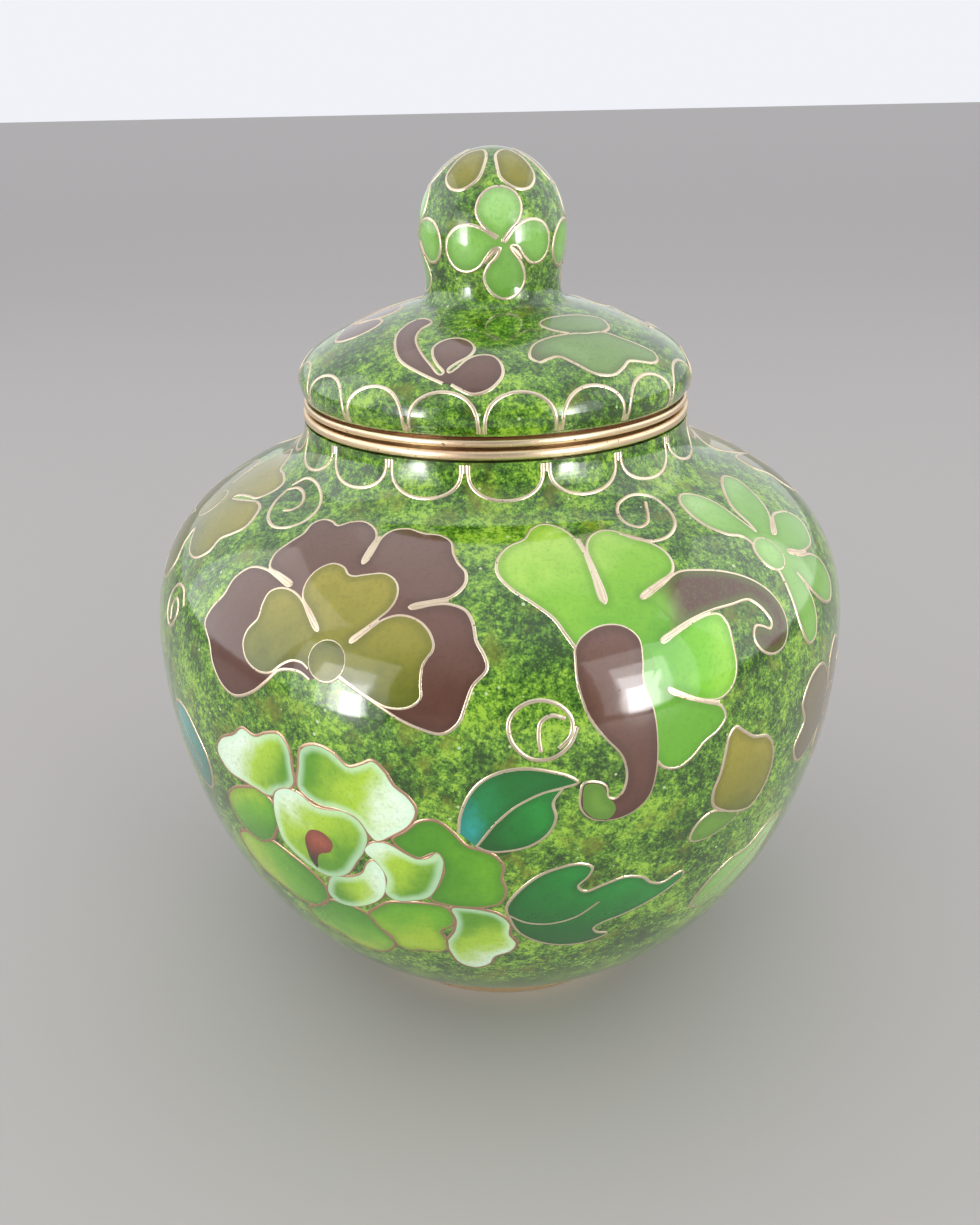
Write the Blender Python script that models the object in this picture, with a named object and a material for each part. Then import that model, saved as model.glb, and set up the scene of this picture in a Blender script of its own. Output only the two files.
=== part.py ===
# A lidded cloisonne ginger jar: two spun copper halves, enamel coats, gilt rings and cloison wires.
# Metres, +Z up. The origin is on the axis, on the face where the foot ring stands.
from bisect import bisect_right
from math import atan2, cos, hypot, pi, radians, sin

import bmesh
import bpy
from mathutils import Vector
from mathutils.geometry import interpolate_bezier

# Driving dimensions in millimetres. Everything else is worked out from these.
MM = 0.001
FOOT_RADIUS = 20.0
FOOT_TOP = 2.6
BELLY_RADIUS = 41.8
BELLY_HEIGHT = 45.0
SHOULDER_RADIUS = 26.6
SHOULDER_HEIGHT = 65.8
NECK_RADIUS = 22.4
NECK_TOP = 70.9
LID_EDGE_RADIUS = 22.0
LID_EDGE_HEIGHT = 74.0
LID_TURN_RADIUS = 20.6
LID_TURN_HEIGHT = 79.0
KNOB_ROOT_RADIUS = 8.6
KNOB_ROOT_HEIGHT = 83.9
KNOB_WAIST_RADIUS = 7.6
KNOB_WAIST_HEIGHT = 87.0
KNOB_RADIUS = 8.2
KNOB_HEIGHT = 91.2
TOTAL_HEIGHT = 100.0

ENAMEL = 0.7  # thickness of the outer enamel coat
COPPER = 0.7  # thickness of the spun copper
LINING = 0.4  # thickness of the counter-enamel inside
GAP = 0.15  # clearance between nested coats
SEAM = 0.3  # clearance between pieces that meet edge to edge
FLANGE_RADIUS = 19.9  # outside of the collar that drops into the mouth
FLANGE_DEPTH = 6.5
FLANGE_WALL = 0.7
VENT_RADIUS = 2.0  # firing vent from the knob into the lid

WIRE = 0.2  # half the width of a cloison wire
JAR_WIRE_LIFT = 0.34  # height of a wire's middle above the jar's enamel
LID_WIRE_LIFT = 0.48  # more on the lid, which curves more sharply
JAR_ARCHES = 17
LID_ARCHES = 18
JAR_SIDES = 32
LID_SIDES = 24


def bezier(start, pull_start, pull_end, end, steps):
    """Points along one Bezier stretch of a profile, as (radius, height)."""
    knots = [Vector((r, 0, z)) for r, z in (start, pull_start, pull_end, end)]
    return [(point.x, point.z) for point in interpolate_bezier(*knots, steps + 1)]


def joined(*stretches):
    """One run of points from stretches that share their end points."""
    points = list(stretches[0])
    for stretch in stretches[1:]:
        points += stretch[1:]
    return points


def lower_jar(steps):
    return bezier((FOOT_RADIUS, FOOT_TOP), (36.6, 10.6), (BELLY_RADIUS, 31.0),
                  (BELLY_RADIUS, BELLY_HEIGHT), steps)


def upper_jar(steps, neck_steps):
    shoulder = bezier((BELLY_RADIUS, BELLY_HEIGHT), (BELLY_RADIUS, 51.7), (41.2, 61.3),
                      (SHOULDER_RADIUS, SHOULDER_HEIGHT), steps)
    neck = bezier((SHOULDER_RADIUS, SHOULDER_HEIGHT), (24.5, 66.6), (NECK_RADIUS, 68.4),
                  (NECK_RADIUS, NECK_TOP), neck_steps)
    return joined(shoulder, neck)


def lid_dome(steps):
    edge = bezier((LID_EDGE_RADIUS, LID_EDGE_HEIGHT), (23.0, 75.4), (23.0, 77.2),
                  (LID_TURN_RADIUS, LID_TURN_HEIGHT), steps)
    top = bezier((LID_TURN_RADIUS, LID_TURN_HEIGHT), (17.0, 81.5), (12.0, 83.0),
                 (KNOB_ROOT_RADIUS, KNOB_ROOT_HEIGHT), steps)
    return joined(edge, top)


def knob(waist_steps, crown_steps):
    waist = bezier((KNOB_ROOT_RADIUS, KNOB_ROOT_HEIGHT), (7.6, 84.2), (7.4, 85.6),
                   (KNOB_WAIST_RADIUS, KNOB_WAIST_HEIGHT), waist_steps)
    side = bezier((KNOB_WAIST_RADIUS, KNOB_WAIST_HEIGHT), (7.9, 88.4), (KNOB_RADIUS, 89.8),
                  (KNOB_RADIUS, KNOB_HEIGHT), max(waist_steps // 2, 1))
    crown = bezier((KNOB_RADIUS, KNOB_HEIGHT), (KNOB_RADIUS, 95.9), (4.8, TOTAL_HEIGHT),
                   (0.0, TOTAL_HEIGHT), crown_steps)
    return joined(waist, side, crown)


def inset(points, depth):
    """The run of points moved inwards, towards the axis side, by this depth."""
    moved = []
    for i, (r, z) in enumerate(points):
        before = points[max(i - 1, 0)]
        after = points[min(i + 1, len(points) - 1)]
        along_r = after[0] - before[0]
        along_z = after[1] - before[1]
        length = hypot(along_r, along_z)
        moved.append((max(r - depth * along_z / length, 0.0), z + depth * along_r / length))
    return moved


def trimmed_top(points, height):
    """The run with its last point brought down to this height."""
    return points[:-1] + [(points[-1][0], height)]


def trimmed_foot(points, height):
    """The run with its first point brought to this height."""
    return [(points[0][0], height)] + points[1:]


class Surface:
    """The outer enamel as a smooth surface: azimuth and arc length up from its foot give a point."""

    def __init__(self, profile, wire_lift):
        self.profile = profile
        self.wire_lift = wire_lift
        self.arcs = [0.0]
        for (r0, z0), (r1, z1) in zip(profile, profile[1:]):
            self.arcs.append(self.arcs[-1] + hypot(r1 - r0, z1 - z0))
        self.length = self.arcs[-1]

    def at(self, arc):
        """Radius, height and outward normal of the profile at this arc length."""
        arc = min(max(arc, 0.0), self.length - 1e-6)
        i = bisect_right(self.arcs, arc) - 1
        part = (arc - self.arcs[i]) / (self.arcs[i + 1] - self.arcs[i])
        (r0, z0), (r1, z1) = self.profile[i], self.profile[i + 1]
        run = hypot(r1 - r0, z1 - z0)
        normal = ((z1 - z0) / run, -(r1 - r0) / run)
        return r0 + (r1 - r0) * part, z0 + (z1 - z0) * part, normal

    def point(self, azimuth, arc):
        """Where a wire's middle runs, in metres. Azimuth 0 faces -Y and grows towards +X."""
        r, z, (out_r, out_z) = self.at(arc)
        r += out_r * self.wire_lift
        z += out_z * self.wire_lift
        return Vector((r * sin(azimuth), -r * cos(azimuth), z)) * MM

    def patch(self, azimuth, arc, turn=0.0):
        """A function from a motif's own millimetres to the surface, about a middle point."""
        def place(u, v):
            across = u * cos(turn) - v * sin(turn)
            up = u * sin(turn) + v * cos(turn)
            radius = self.at(arc + up)[0]
            return self.point(azimuth + across / radius, arc + up)
        return place

    def cap(self):
        """The same about the pole at the top of the surface."""
        def place(u, v):
            return self.point(atan2(u, -v), self.length - hypot(u, v))
        return place


def material(name, colour, roughness, metallic):
    made = bpy.data.materials.new(name)
    made.use_nodes = True
    shader = made.node_tree.nodes["Principled BSDF"]
    shader.inputs["Base Color"].default_value = (*colour, 1.0)
    shader.inputs["Roughness"].default_value = roughness
    shader.inputs["Metallic"].default_value = metallic
    return made


def add_object(name, data, finish):
    obj = bpy.data.objects.new(name, data)
    bpy.context.scene.collection.objects.link(obj)
    data.materials.append(finish)
    return obj


def turned(name, outline, sides, finish, closed=True):
    """A solid of revolution. The outline runs down its outer side and back up inside."""
    mesh = bpy.data.meshes.new(name)
    points = [(r * MM, 0.0, z * MM) for r, z in outline]
    edges = [(i, i + 1) for i in range(len(points) - 1)]
    if closed:
        edges.append((len(points) - 1, 0))
    mesh.from_pydata(points, edges, [])
    obj = add_object(name, mesh, finish)
    screw = obj.modifiers.new("Turn", "SCREW")
    screw.axis = "Z"
    screw.steps = sides
    screw.render_steps = sides
    screw.use_merge_vertices = True
    screw.merge_threshold = 1e-6
    return obj


def coat(name, outer, inner, sides, finish):
    """A turned wall between an outer and an inner run of points, both from the foot up."""
    return turned(name, outer[::-1] + inner, sides, finish)


def bowl(name, outer, inner, under, floor, sides, finish):
    """The same wall, closed below by a flat bottom that reaches the axis."""
    inner_foot = (inner[0][0] - 0.5, floor)
    outer_foot = (outer[0][0] - 0.5, under)
    outline = [(0, floor), inner_foot, *inner, *outer[::-1], outer_foot, (0, under)]
    return turned(name, outline, sides, finish, closed=False)


def cover(name, outer, inner, sides, finish):
    """A wall whose two runs of points both end on the axis at the top."""
    return turned(name, outer[::-1] + inner, sides, finish, closed=False)


def wire_net(name, cells, place, finish):
    """Wires along every edge of cells that share points: one joined net of cloisons."""
    net = bmesh.new()
    corners = {}
    for cell in cells:
        for point in cell:
            if point not in corners:
                corners[point] = net.verts.new(place(*point))
        net.faces.new([corners[point] for point in cell])
    bmesh.ops.recalc_face_normals(net, faces=net.faces)
    mesh = bpy.data.meshes.new(name)
    net.to_mesh(mesh)
    net.free()
    obj = add_object(name, mesh, finish)
    wires = obj.modifiers.new("Wires", "WIREFRAME")
    wires.thickness = 2 * WIRE * MM
    wires.use_boundary = True
    wires.use_replace = True
    wires.use_even_offset = False
    return obj


def wire_run(name, points, finish, cyclic=False):
    """One bent wire along these world points."""
    curve = bpy.data.curves.new(name, "CURVE")
    curve.dimensions = "3D"
    curve.bevel_depth = WIRE * MM
    curve.bevel_resolution = 0
    curve.use_fill_caps = True
    spline = curve.splines.new("POLY")
    spline.points.add(len(points) - 1)
    for corner, point in zip(spline.points, points):
        corner.co = (*point, 1.0)
    spline.use_cyclic_u = cyclic
    return add_object(name, curve, finish)


def rounded(u, v):
    """A cell's corner to a hundredth of a millimetre, so that neighbouring cells share it."""
    return round(u, 2), round(v, 2)


def flower_cells(reaches, spread, start, eye, notch, steps=4):
    """Petals side by side about a small eye. Reaches are their lengths, spread their total angle."""
    count = len(reaches)
    step = radians(spread) / count
    first = radians(start)

    def ray(turn, reach):
        return rounded(reach * cos(first + turn), reach * sin(first + turn))

    cells = []
    for i, reach in enumerate(reaches):
        rim = []
        for k in range(steps + 1):
            bulge = sin(pi * k / steps) ** 0.6
            rim.append(ray((i + k / steps) * step, notch + (reach - notch) * bulge))
        cells.append([ray(i * step, eye), *rim, ray((i + 1) * step, eye)])
    cells.append([ray(i * step, eye) for i in range(count + (spread < 360))])
    return cells


def leaf_cells(length, width, steps=5):
    """A leaf's outline, fuller towards its stem."""
    edge = []
    for k in range(2 * steps):
        share = k / steps if k <= steps else 2 - k / steps
        side = 1 if k <= steps else -1
        reach = side * width / 2 * sin(pi * share ** 0.8)
        edge.append(rounded(length * (share - 0.5), reach))
    return [edge]


def spiral_points(place, radius, turns=1.6, steps=16):
    """A wire that curls inwards from its free end."""
    points = []
    for k in range(steps + 1):
        share = k / steps
        reach = radius * (1 - 0.72 * share)
        swept = turns * 2 * pi * share
        points.append(place(reach * cos(swept), reach * sin(swept)))
    return points


def arch_points(surface, foot_arc, rise, arches, first_azimuth, steps=4):
    """A closed run of arches round the axis, springing from one arc length."""
    points = []
    for k in range(arches * steps):
        height = rise * sin(pi * (k % steps) / steps) ** 0.7
        azimuth = radians(first_azimuth) + 2 * pi * k / (arches * steps)
        points.append(surface.point(azimuth, foot_arc + height))
    return points


# The flowers on one side, each at (azimuth in degrees, arc length from the foot, turn in degrees).
JAR_FLOWERS = {
    "pansy_wire": ((-25, 65, 18), (15, 10.5, 13, 13, 10.5), 360, 2.2, 7.5),
    "orchid_wire": ((19, 64, 18), (15, 13, 14, 13, 14), 360, 2.6, 7.5),
    "peony_wire": ((-22, 38, 0), (14, 12, 13, 14, 13, 12, 13, 12), 360, 3.0, 9.5),
    "star_flower_wire": ((54, 67, 20), (8, 8.5, 8, 8.5, 8), 360, 1.8, 4.0),
    "olive_flower_wire": ((-74, 69, 30), (10, 9, 10, 9), 360, 2.0, 5.0),
}
JAR_LEAVES = {
    "upper_leaf_wire": ((4, 48, 38), 12, 7),
    "lower_leaf_wire": ((14, 35, 8), 17, 8),
    "bud_leaf_wire": ((37, 44, 80), 11, 7),
}
JAR_SPIRALS = {"neck_spiral_wire": ((-50, 78.2, 0), 2.8), "side_spiral_wire": ((37, 79, 0), 2.8)}
LID_FLOWERS = {
    "lid_blossom_wire": ((-16, 8.2, -20), (5.5, 5.5, 7), 210, 1.0, 2.0),
    "knob_clover_wire": ((5, 26, 45), (3.8, 4.6, 3.8, 4.2), 360, 0.8, 1.6),
}
LID_LEAVES = {"lid_leaf_wire": ((38, 9.5, -8), 12, 5)}
CROWN_PETALS = ((7.0,) * 5, 360, 18, 1.0, 2.2, 6)


def build_motifs(surface, flowers, leaves, spirals, finish):
    """Each motif once in front and once behind."""
    for side, half_turn in (("front", 0), ("back", 180)):
        for name, ((azimuth, arc, turn), reaches, spread, eye, notch) in flowers.items():
            place = surface.patch(radians(azimuth + half_turn), arc)
            cells = flower_cells(reaches, spread, turn, eye, notch)
            wire_net(f"{name}_{side}", cells, place, finish)
        for name, ((azimuth, arc, turn), length, width) in leaves.items():
            place = surface.patch(radians(azimuth + half_turn), arc, radians(turn))
            wire_net(f"{name}_{side}", leaf_cells(length, width), place, finish)
        for name, ((azimuth, arc, turn), radius) in spirals.items():
            place = surface.patch(radians(azimuth + half_turn), arc, radians(turn))
            wire_run(f"{name}_{side}", spiral_points(place, radius), finish)


def build_jar(copper, green, turquoise, gilt):
    low = lower_jar(5)
    high = upper_jar(4, 2)
    profile = joined(low, high)
    outside = ENAMEL + GAP
    inside = outside + COPPER
    base = FOOT_TOP + 0.5
    coat("jar_enamel", profile, inset(profile, ENAMEL), JAR_SIDES, green)

    low_out = trimmed_top(inset(low, outside), BELLY_HEIGHT - SEAM / 2)
    low_in = trimmed_top(inset(low, inside), BELLY_HEIGHT - SEAM / 2)
    bowl("jar_shell_lower", low_out, low_in, base, base + COPPER, JAR_SIDES, copper)
    high_out = trimmed_foot(inset(high, outside), BELLY_HEIGHT + SEAM / 2)
    high_in = trimmed_foot(inset(high, inside), BELLY_HEIGHT + SEAM / 2)
    coat("jar_shell_upper", high_out, high_in, JAR_SIDES, copper)

    depth = inside + GAP
    floor = base + COPPER + GAP
    bowl("jar_lining", inset(profile, depth), inset(profile, depth + LINING), floor,
         floor + LINING, JAR_SIDES, turquoise)
    under = base - GAP
    turned("base_enamel", [(0, under), (18, under), (18, under - 0.5), (0, under - 0.5)],
           JAR_SIDES, turquoise, closed=False)
    turned("foot_ring", [(18.4, 2.9), (19.3, 2.9), (20.4, 2.3), (20.4, 0.4), (20, 0), (18.4, 0)],
           JAR_SIDES, gilt)
    turned("mouth_ring", [(20.3, 72.6), (22.1, 72.6), (22.5, 72.2), (22.5, 71.5), (22.1, 71.1),
                          (20.3, 71.1)], JAR_SIDES, gilt)

    surface = Surface(joined(lower_jar(40), upper_jar(40, 10)), JAR_WIRE_LIFT)
    arches = arch_points(surface, surface.length - 0.6, -3.4, JAR_ARCHES, -50.6)
    wire_run("jar_scallop_wire", arches, gilt, cyclic=True)
    build_motifs(surface, JAR_FLOWERS, JAR_LEAVES, JAR_SPIRALS, gilt)


def build_lid(copper, green, turquoise, gilt):
    dome = lid_dome(3)
    top = knob(2, 4)
    profile = joined(dome, top)
    outside = ENAMEL + GAP
    inside = outside + COPPER
    cover("lid_enamel", profile, inset(profile, ENAMEL), LID_SIDES, green)

    shell_out = [(21.1, 73.9), *inset(dome, outside)[1:], (VENT_RADIUS, 83.5)]
    shell_in = [(20.4, 73.9), *inset(dome, inside)[1:], (VENT_RADIUS, 82.8)]
    coat("lid_shell", shell_out, shell_in, LID_SIDES, copper)
    knob_foot = 83.75
    knob_out = [(KNOB_WAIST_RADIUS - outside, knob_foot), *inset(top, outside)[2:]]
    knob_in = [(KNOB_WAIST_RADIUS - inside, knob_foot), *inset(top, inside)[2:]]
    cover("knob_shell", knob_out, knob_in, LID_SIDES, copper)
    depth = inside + GAP
    liner_out = [*inset(dome, depth), (VENT_RADIUS + 0.5, 82.6)]
    liner_in = [*inset(dome, depth + LINING), (VENT_RADIUS + 0.5, 82.2)]
    coat("lid_lining", liner_out, liner_in, LID_SIDES, turquoise)

    turned("lid_ring", [(20.3, 73.7), (22.0, 73.7), (22.3, 73.3), (22.0, 72.9), (20.3, 72.9)],
           LID_SIDES, gilt)
    flange_inside = FLANGE_RADIUS - FLANGE_WALL
    flange_top = LID_EDGE_HEIGHT + 0.4
    flange_foot = LID_EDGE_HEIGHT - FLANGE_DEPTH
    turned("lid_flange", [(flange_inside, flange_top), (FLANGE_RADIUS, flange_top),
                          (FLANGE_RADIUS, flange_foot + 0.3), (FLANGE_RADIUS - 0.3, flange_foot),
                          (flange_inside, flange_foot)], LID_SIDES, gilt)

    surface = Surface(joined(lid_dome(20), knob(10, 20)), LID_WIRE_LIFT)
    arches = arch_points(surface, 0.6, 3.2, LID_ARCHES, -43.5)
    wire_run("lid_scallop_wire", arches, gilt, cyclic=True)
    build_motifs(surface, LID_FLOWERS, LID_LEAVES, {}, gilt)
    (azimuth, arc, turn), reaches, spread, eye, notch = LID_FLOWERS["knob_clover_wire"]
    for side, quarter in (("right", 90), ("left", 270)):
        place = surface.patch(radians(azimuth + quarter), arc)
        cells = flower_cells(reaches, spread, turn, eye, notch)
        wire_net(f"knob_clover_wire_{side}", cells, place, gilt)
    wire_net("knob_crown_wire", flower_cells(*CROWN_PETALS), surface.cap(), gilt)


def build():
    for obj in list(bpy.data.objects):
        bpy.data.objects.remove(obj)
    copper = material("copper", (0.72, 0.36, 0.22), 0.35, 1.0)
    gilt = material("gilt_copper", (0.86, 0.62, 0.42), 0.25, 1.0)
    green = material("green_enamel", (0.13, 0.24, 0.05), 0.12, 0.0)
    turquoise = material("turquoise_enamel", (0.05, 0.38, 0.42), 0.2, 0.0)
    build_jar(copper, green, turquoise, gilt)
    build_lid(copper, green, turquoise, gilt)


build()
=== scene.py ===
from bisect import bisect_right
from math import cos, hypot, pi, radians, sin

import bpy
from mathutils import Matrix, Vector
from mathutils.geometry import delaunay_2d_cdt, interpolate_bezier


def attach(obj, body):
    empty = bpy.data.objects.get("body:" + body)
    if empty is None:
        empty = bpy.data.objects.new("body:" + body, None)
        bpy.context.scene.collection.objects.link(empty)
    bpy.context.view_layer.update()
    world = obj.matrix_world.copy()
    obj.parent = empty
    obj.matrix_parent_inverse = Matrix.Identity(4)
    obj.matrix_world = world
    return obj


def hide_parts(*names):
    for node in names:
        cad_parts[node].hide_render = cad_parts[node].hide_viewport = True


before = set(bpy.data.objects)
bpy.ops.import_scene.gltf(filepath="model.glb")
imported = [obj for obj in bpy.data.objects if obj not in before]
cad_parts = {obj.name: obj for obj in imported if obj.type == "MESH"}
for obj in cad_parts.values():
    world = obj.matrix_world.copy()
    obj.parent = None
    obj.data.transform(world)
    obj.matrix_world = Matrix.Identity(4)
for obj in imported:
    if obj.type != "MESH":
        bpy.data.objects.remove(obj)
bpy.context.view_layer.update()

# The frame is in metres; every size below is in millimetres.
mm = 0.001
bpy.ops.object.select_all(action="DESELECT")


# Shader nodes. Sockets or plain values go in, and a socket comes out.
def addNode(tree, kind, settings=None, values=None):
    node = tree.nodes.new(kind)
    for key, value in (settings or {}).items():
        setattr(node, key, value)
    for key, value in (values or {}).items():
        node.inputs[key].default_value = value
    return node


def feed(tree, value, socket):
    if isinstance(value, bpy.types.NodeSocket):
        tree.links.new(value, socket)
    else:
        socket.default_value = value


def mixColours(tree, share, low, high):
    mix = addNode(tree, "ShaderNodeMix", {"data_type": "RGBA"})
    for index, value in ((0, share), (6, low), (7, high)):
        feed(tree, value, mix.inputs[index])
    return mix.outputs[2]


def ramped(tree, value, low, high, top=1.0):
    # a mask that rises from 0 at low to its top at high
    step = addNode(tree, "ShaderNodeMapRange", {"interpolation_type": "SMOOTHSTEP"},
                   {"From Min": low, "From Max": high, "To Max": top})
    tree.links.new(value, step.inputs["Value"])
    return step.outputs["Result"]


def maths(tree, operation, first, second):
    node = addNode(tree, "ShaderNodeMath", {"operation": operation})
    feed(tree, first, node.inputs[0])
    feed(tree, second, node.inputs[1])
    return node.outputs[0]


def noiseOf(tree, vector, scale, detail=3.0, roughness=0.55):
    noise = addNode(tree, "ShaderNodeTexNoise", None,
                    {"Scale": scale, "Detail": detail, "Roughness": roughness})
    tree.links.new(vector, noise.inputs["Vector"])
    return noise.outputs["Fac"]


def dotsOf(tree, vector, scale):
    # round dots: how far each place is from its dot's middle, and the dot's own three lots
    dots = addNode(tree, "ShaderNodeTexVoronoi", None, {"Scale": scale})
    tree.links.new(vector, dots.inputs["Vector"])
    lots = addNode(tree, "ShaderNodeSeparateColor")
    tree.links.new(dots.outputs["Color"], lots.inputs[0])
    return dots.outputs["Distance"], lots.outputs


# Camera, light and floor.
camera = {
    "distance": 128.6, "height": 103.9,        # from the jar's axis and from the floor
    "pitch": 24.74, "roll": -1.215, "yaw": -0.517,
    "sensor": 36, "focal": 1100 / 1225,        # focal length over the picture's long side
}
studio = {
    "sky": (0.88, 0.89, 0.94), "shade": (0.26, 0.26, 0.27),   # round about, and behind the camera
    "besideFrom": (-0.92, -0.45), "aboveFrom": (0.30, 0.75), "aboveShare": 0.55,
    "floor": (0.44, 0.42, 0.40), "floorRoughness": 0.65, "floorSize": 40,   # size in metres
    "aim": 50,                                 # height that the panels face
    # azimuth, elevation, distance, width, height, radiance
    "panels": {
        "leftPane": (-43, 0, 400, 44, 90, 8.0),
        "leftWindow": (-44, 4, 410, 80, 140, 4.4),
        "leftCurtain": (-46, 8, 420, 125, 190, 2.6),
        "leftGlow": (-48, 12, 430, 240, 280, 1.1),
        "rightPane": (39, 2, 400, 44, 100, 8.0),
        "rightWindow": (40, 6, 410, 80, 150, 4.4),
        "rightCurtain": (42, 10, 420, 125, 200, 2.6),
        "rightGlow": (44, 14, 430, 240, 280, 1.1),
        "leftWall": (-95, 26, 520, 480, 480, 0.8),
        "rightWall": (98, 26, 520, 480, 480, 0.65),
        "ceiling": (180, 75, 520, 420, 420, 0.25),
    },
}


def lookFrom(azimuth, elevation):
    # unit vector towards a point at this azimuth; 0 faces -Y and grows towards +X
    a, e = radians(azimuth), radians(elevation)
    return Vector((sin(a) * cos(e), -cos(a) * cos(e), sin(e)))


def addCamera():
    bpy.ops.object.camera_add(location=(0, -camera["distance"] * mm, camera["height"] * mm))
    cam = bpy.context.object
    cam.name = "mainCamera"
    cam.data.sensor_width = camera["sensor"]
    cam.data.lens = camera["sensor"] * camera["focal"]
    cam.data.clip_start = 0.005
    tilt = Matrix.Rotation(radians(90 - camera["pitch"]), 3, "X")
    turn = Matrix.Rotation(radians(-camera["yaw"]), 3, "Z")
    roll = Matrix.Rotation(radians(camera["roll"]), 3, "Z")
    cam.rotation_mode = "QUATERNION"
    cam.rotation_quaternion = (turn @ tilt @ roll).to_quaternion()
    bpy.context.scene.camera = cam


def addSky():
    # pale all round and dark behind the camera, so that the glass reflects both
    world = bpy.data.worlds.new("studio")
    world.use_nodes = True
    tree = world.node_tree
    direction = addNode(tree, "ShaderNodeTexCoord")
    split = addNode(tree, "ShaderNodeSeparateXYZ")
    tree.links.new(direction.outputs["Generated"], split.inputs[0])
    beside = ramped(tree, split.outputs["Y"], *studio["besideFrom"])
    above = ramped(tree, split.outputs["Z"], *studio["aboveFrom"], studio["aboveShare"])
    pale = maths(tree, "MAXIMUM", beside, above)
    colour = mixColours(tree, pale, (*studio["shade"], 1), (*studio["sky"], 1))
    tree.links.new(colour, tree.nodes["Background"].inputs["Color"])
    bpy.context.scene.world = world
    bpy.context.scene.view_settings.view_transform = "Standard"


def addPanels():
    for name, (azimuth, elevation, distance, width, height, radiance) in studio["panels"].items():
        away = lookFrom(azimuth, elevation)
        place = away * distance * mm + Vector((0, 0, studio["aim"] * mm))
        bpy.ops.object.light_add(type="AREA", location=place)
        lamp = bpy.context.object
        lamp.name = name
        lamp.data.shape = "RECTANGLE"
        lamp.data.size = width * mm
        lamp.data.size_y = height * mm
        lamp.data.energy = radiance * pi * width * height * mm * mm
        lamp.rotation_mode = "QUATERNION"
        lamp.rotation_quaternion = away.to_track_quat("Z", "Y")


def addFloor():
    bpy.ops.mesh.primitive_plane_add(size=studio["floorSize"])
    floor = bpy.context.object
    floor.name = "floor"
    finish = bpy.data.materials.new("paleFloor")
    finish.use_nodes = True
    shader = finish.node_tree.nodes["Principled BSDF"]
    shader.inputs["Base Color"].default_value = (*studio["floor"], 1)
    shader.inputs["Roughness"].default_value = studio["floorRoughness"]
    floor.data.materials.append(finish)


addCamera()
addSky()
addPanels()
addFloor()
bpy.ops.object.select_all(action="DESELECT")
print("camera and studio are set")


# Shape. Bezier stretches of the outer enamel, from the foot up, as (radius, height) with the
# number of steps last. "enamel" and the linings are depths under the outer face.
jar = {
    "stretches": [
        ((20.0, 2.6), (36.6, 10.6), (41.8, 31.0), (41.8, 45.0), 44),
        ((41.8, 45.0), (41.8, 51.7), (41.2, 61.3), (26.6, 65.8), 44),
        ((26.6, 65.8), (24.5, 66.6), (22.4, 68.4), (22.4, 71.4), 14),
    ],
    "enamel": 0.7, "liningFrom": 1.7, "liningTo": 2.1, "sides": 256,
    "floorUnder": 3.95, "floorTop": 4.35, "floorTuck": 0.5,
    "underside": [(0, 2.95), (18.0, 2.95), (18.0, 2.5), (17.4, 2.35), (16.0, 2.42), (0, 2.5)],
}
lid = {
    "stretches": [
        ((22.0, 74.0), (23.0, 75.4), (23.0, 77.2), (20.6, 79.0), 22),
        ((20.6, 79.0), (17.0, 81.5), (12.0, 83.0), (8.6, 83.9), 22),
        ((8.6, 83.9), (7.6, 84.2), (7.4, 85.6), (7.6, 87.0), 14),
        ((7.6, 87.0), (7.9, 88.4), (8.2, 89.8), (8.2, 91.2), 6),
        ((8.2, 91.2), (8.2, 95.9), (4.8, 100.0), (0.0, 100.0), 22),
    ],
    "enamel": 0.7, "liningFrom": 1.7, "liningTo": 2.1, "sides": 192,
    "domeStretches": 2, "ventOut": (2.5, 82.6), "ventIn": (2.5, 82.2),
}
liningSides = 128
rings = {
    "footRing": {"outline": [(18.4, 2.9), (19.3, 2.9), (20.4, 2.3), (20.4, 0.0), (18.4, 0.0)],
                 "round": 0.35, "body": "jar", "node": "foot_ring"},
    "mouthRing": {"outline": [(20.3, 72.6), (22.5, 72.6), (22.5, 71.55), (20.3, 71.55)],
                  "round": 0.5, "body": "jar", "node": "mouth_ring"},
    "lidRing": {"outline": [(20.3, 73.7), (22.3, 73.7), (22.3, 72.9), (20.3, 72.9)],
                "round": 0.35, "body": "lid", "node": "lid_ring"},
    "lidFlange": {"outline": [(19.2, 74.4), (19.9, 74.4), (19.9, 67.5), (19.2, 67.5)],
                  "round": 0.22, "body": "lid", "node": "lid_flange"},
}
ringSides = 192


def runOf(stretches, finer=1):
    # one run of profile points from the Bezier stretches
    points = []
    for start, pullStart, pullEnd, end, steps in stretches:
        knots = [Vector((r, 0, z)) for r, z in (start, pullStart, pullEnd, end)]
        piece = [(p.x, p.z) for p in interpolate_bezier(*knots, steps * finer + 1)]
        points += piece[1:] if points else piece
    return points


def normalsOf(run):
    # the outward normal at each point of a run
    normals = []
    for i in range(len(run)):
        before, after = run[max(i - 1, 0)], run[min(i + 1, len(run) - 1)]
        alongR, alongZ = after[0] - before[0], after[1] - before[1]
        length = hypot(alongR, alongZ)
        normals.append((alongZ / length, -alongR / length))
    return normals


def insetRun(run, depth):
    # the run moved towards the inside by this depth
    return [(max(r - depth * outR, 0.0), z - depth * outZ)
            for (r, z), (outR, outZ) in zip(run, normalsOf(run))]


def roundedOutline(corners, radius, steps=5):
    # the corners of a closed outline eased by arcs of this radius
    points = []
    count = len(corners)
    for i, corner in enumerate(corners):
        here = Vector(corner)
        towards = [(Vector(corners[j % count]) - here) for j in (i - 1, i + 1)]
        reach = min(radius, 0.45 * towards[0].length, 0.45 * towards[1].length)
        start = here + towards[0].normalized() * reach
        end = here + towards[1].normalized() * reach
        for k in range(steps + 1):
            t = k / steps
            points.append(tuple(start * (1 - t) ** 2 + here * 2 * t * (1 - t) + end * t * t))
    return points


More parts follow.
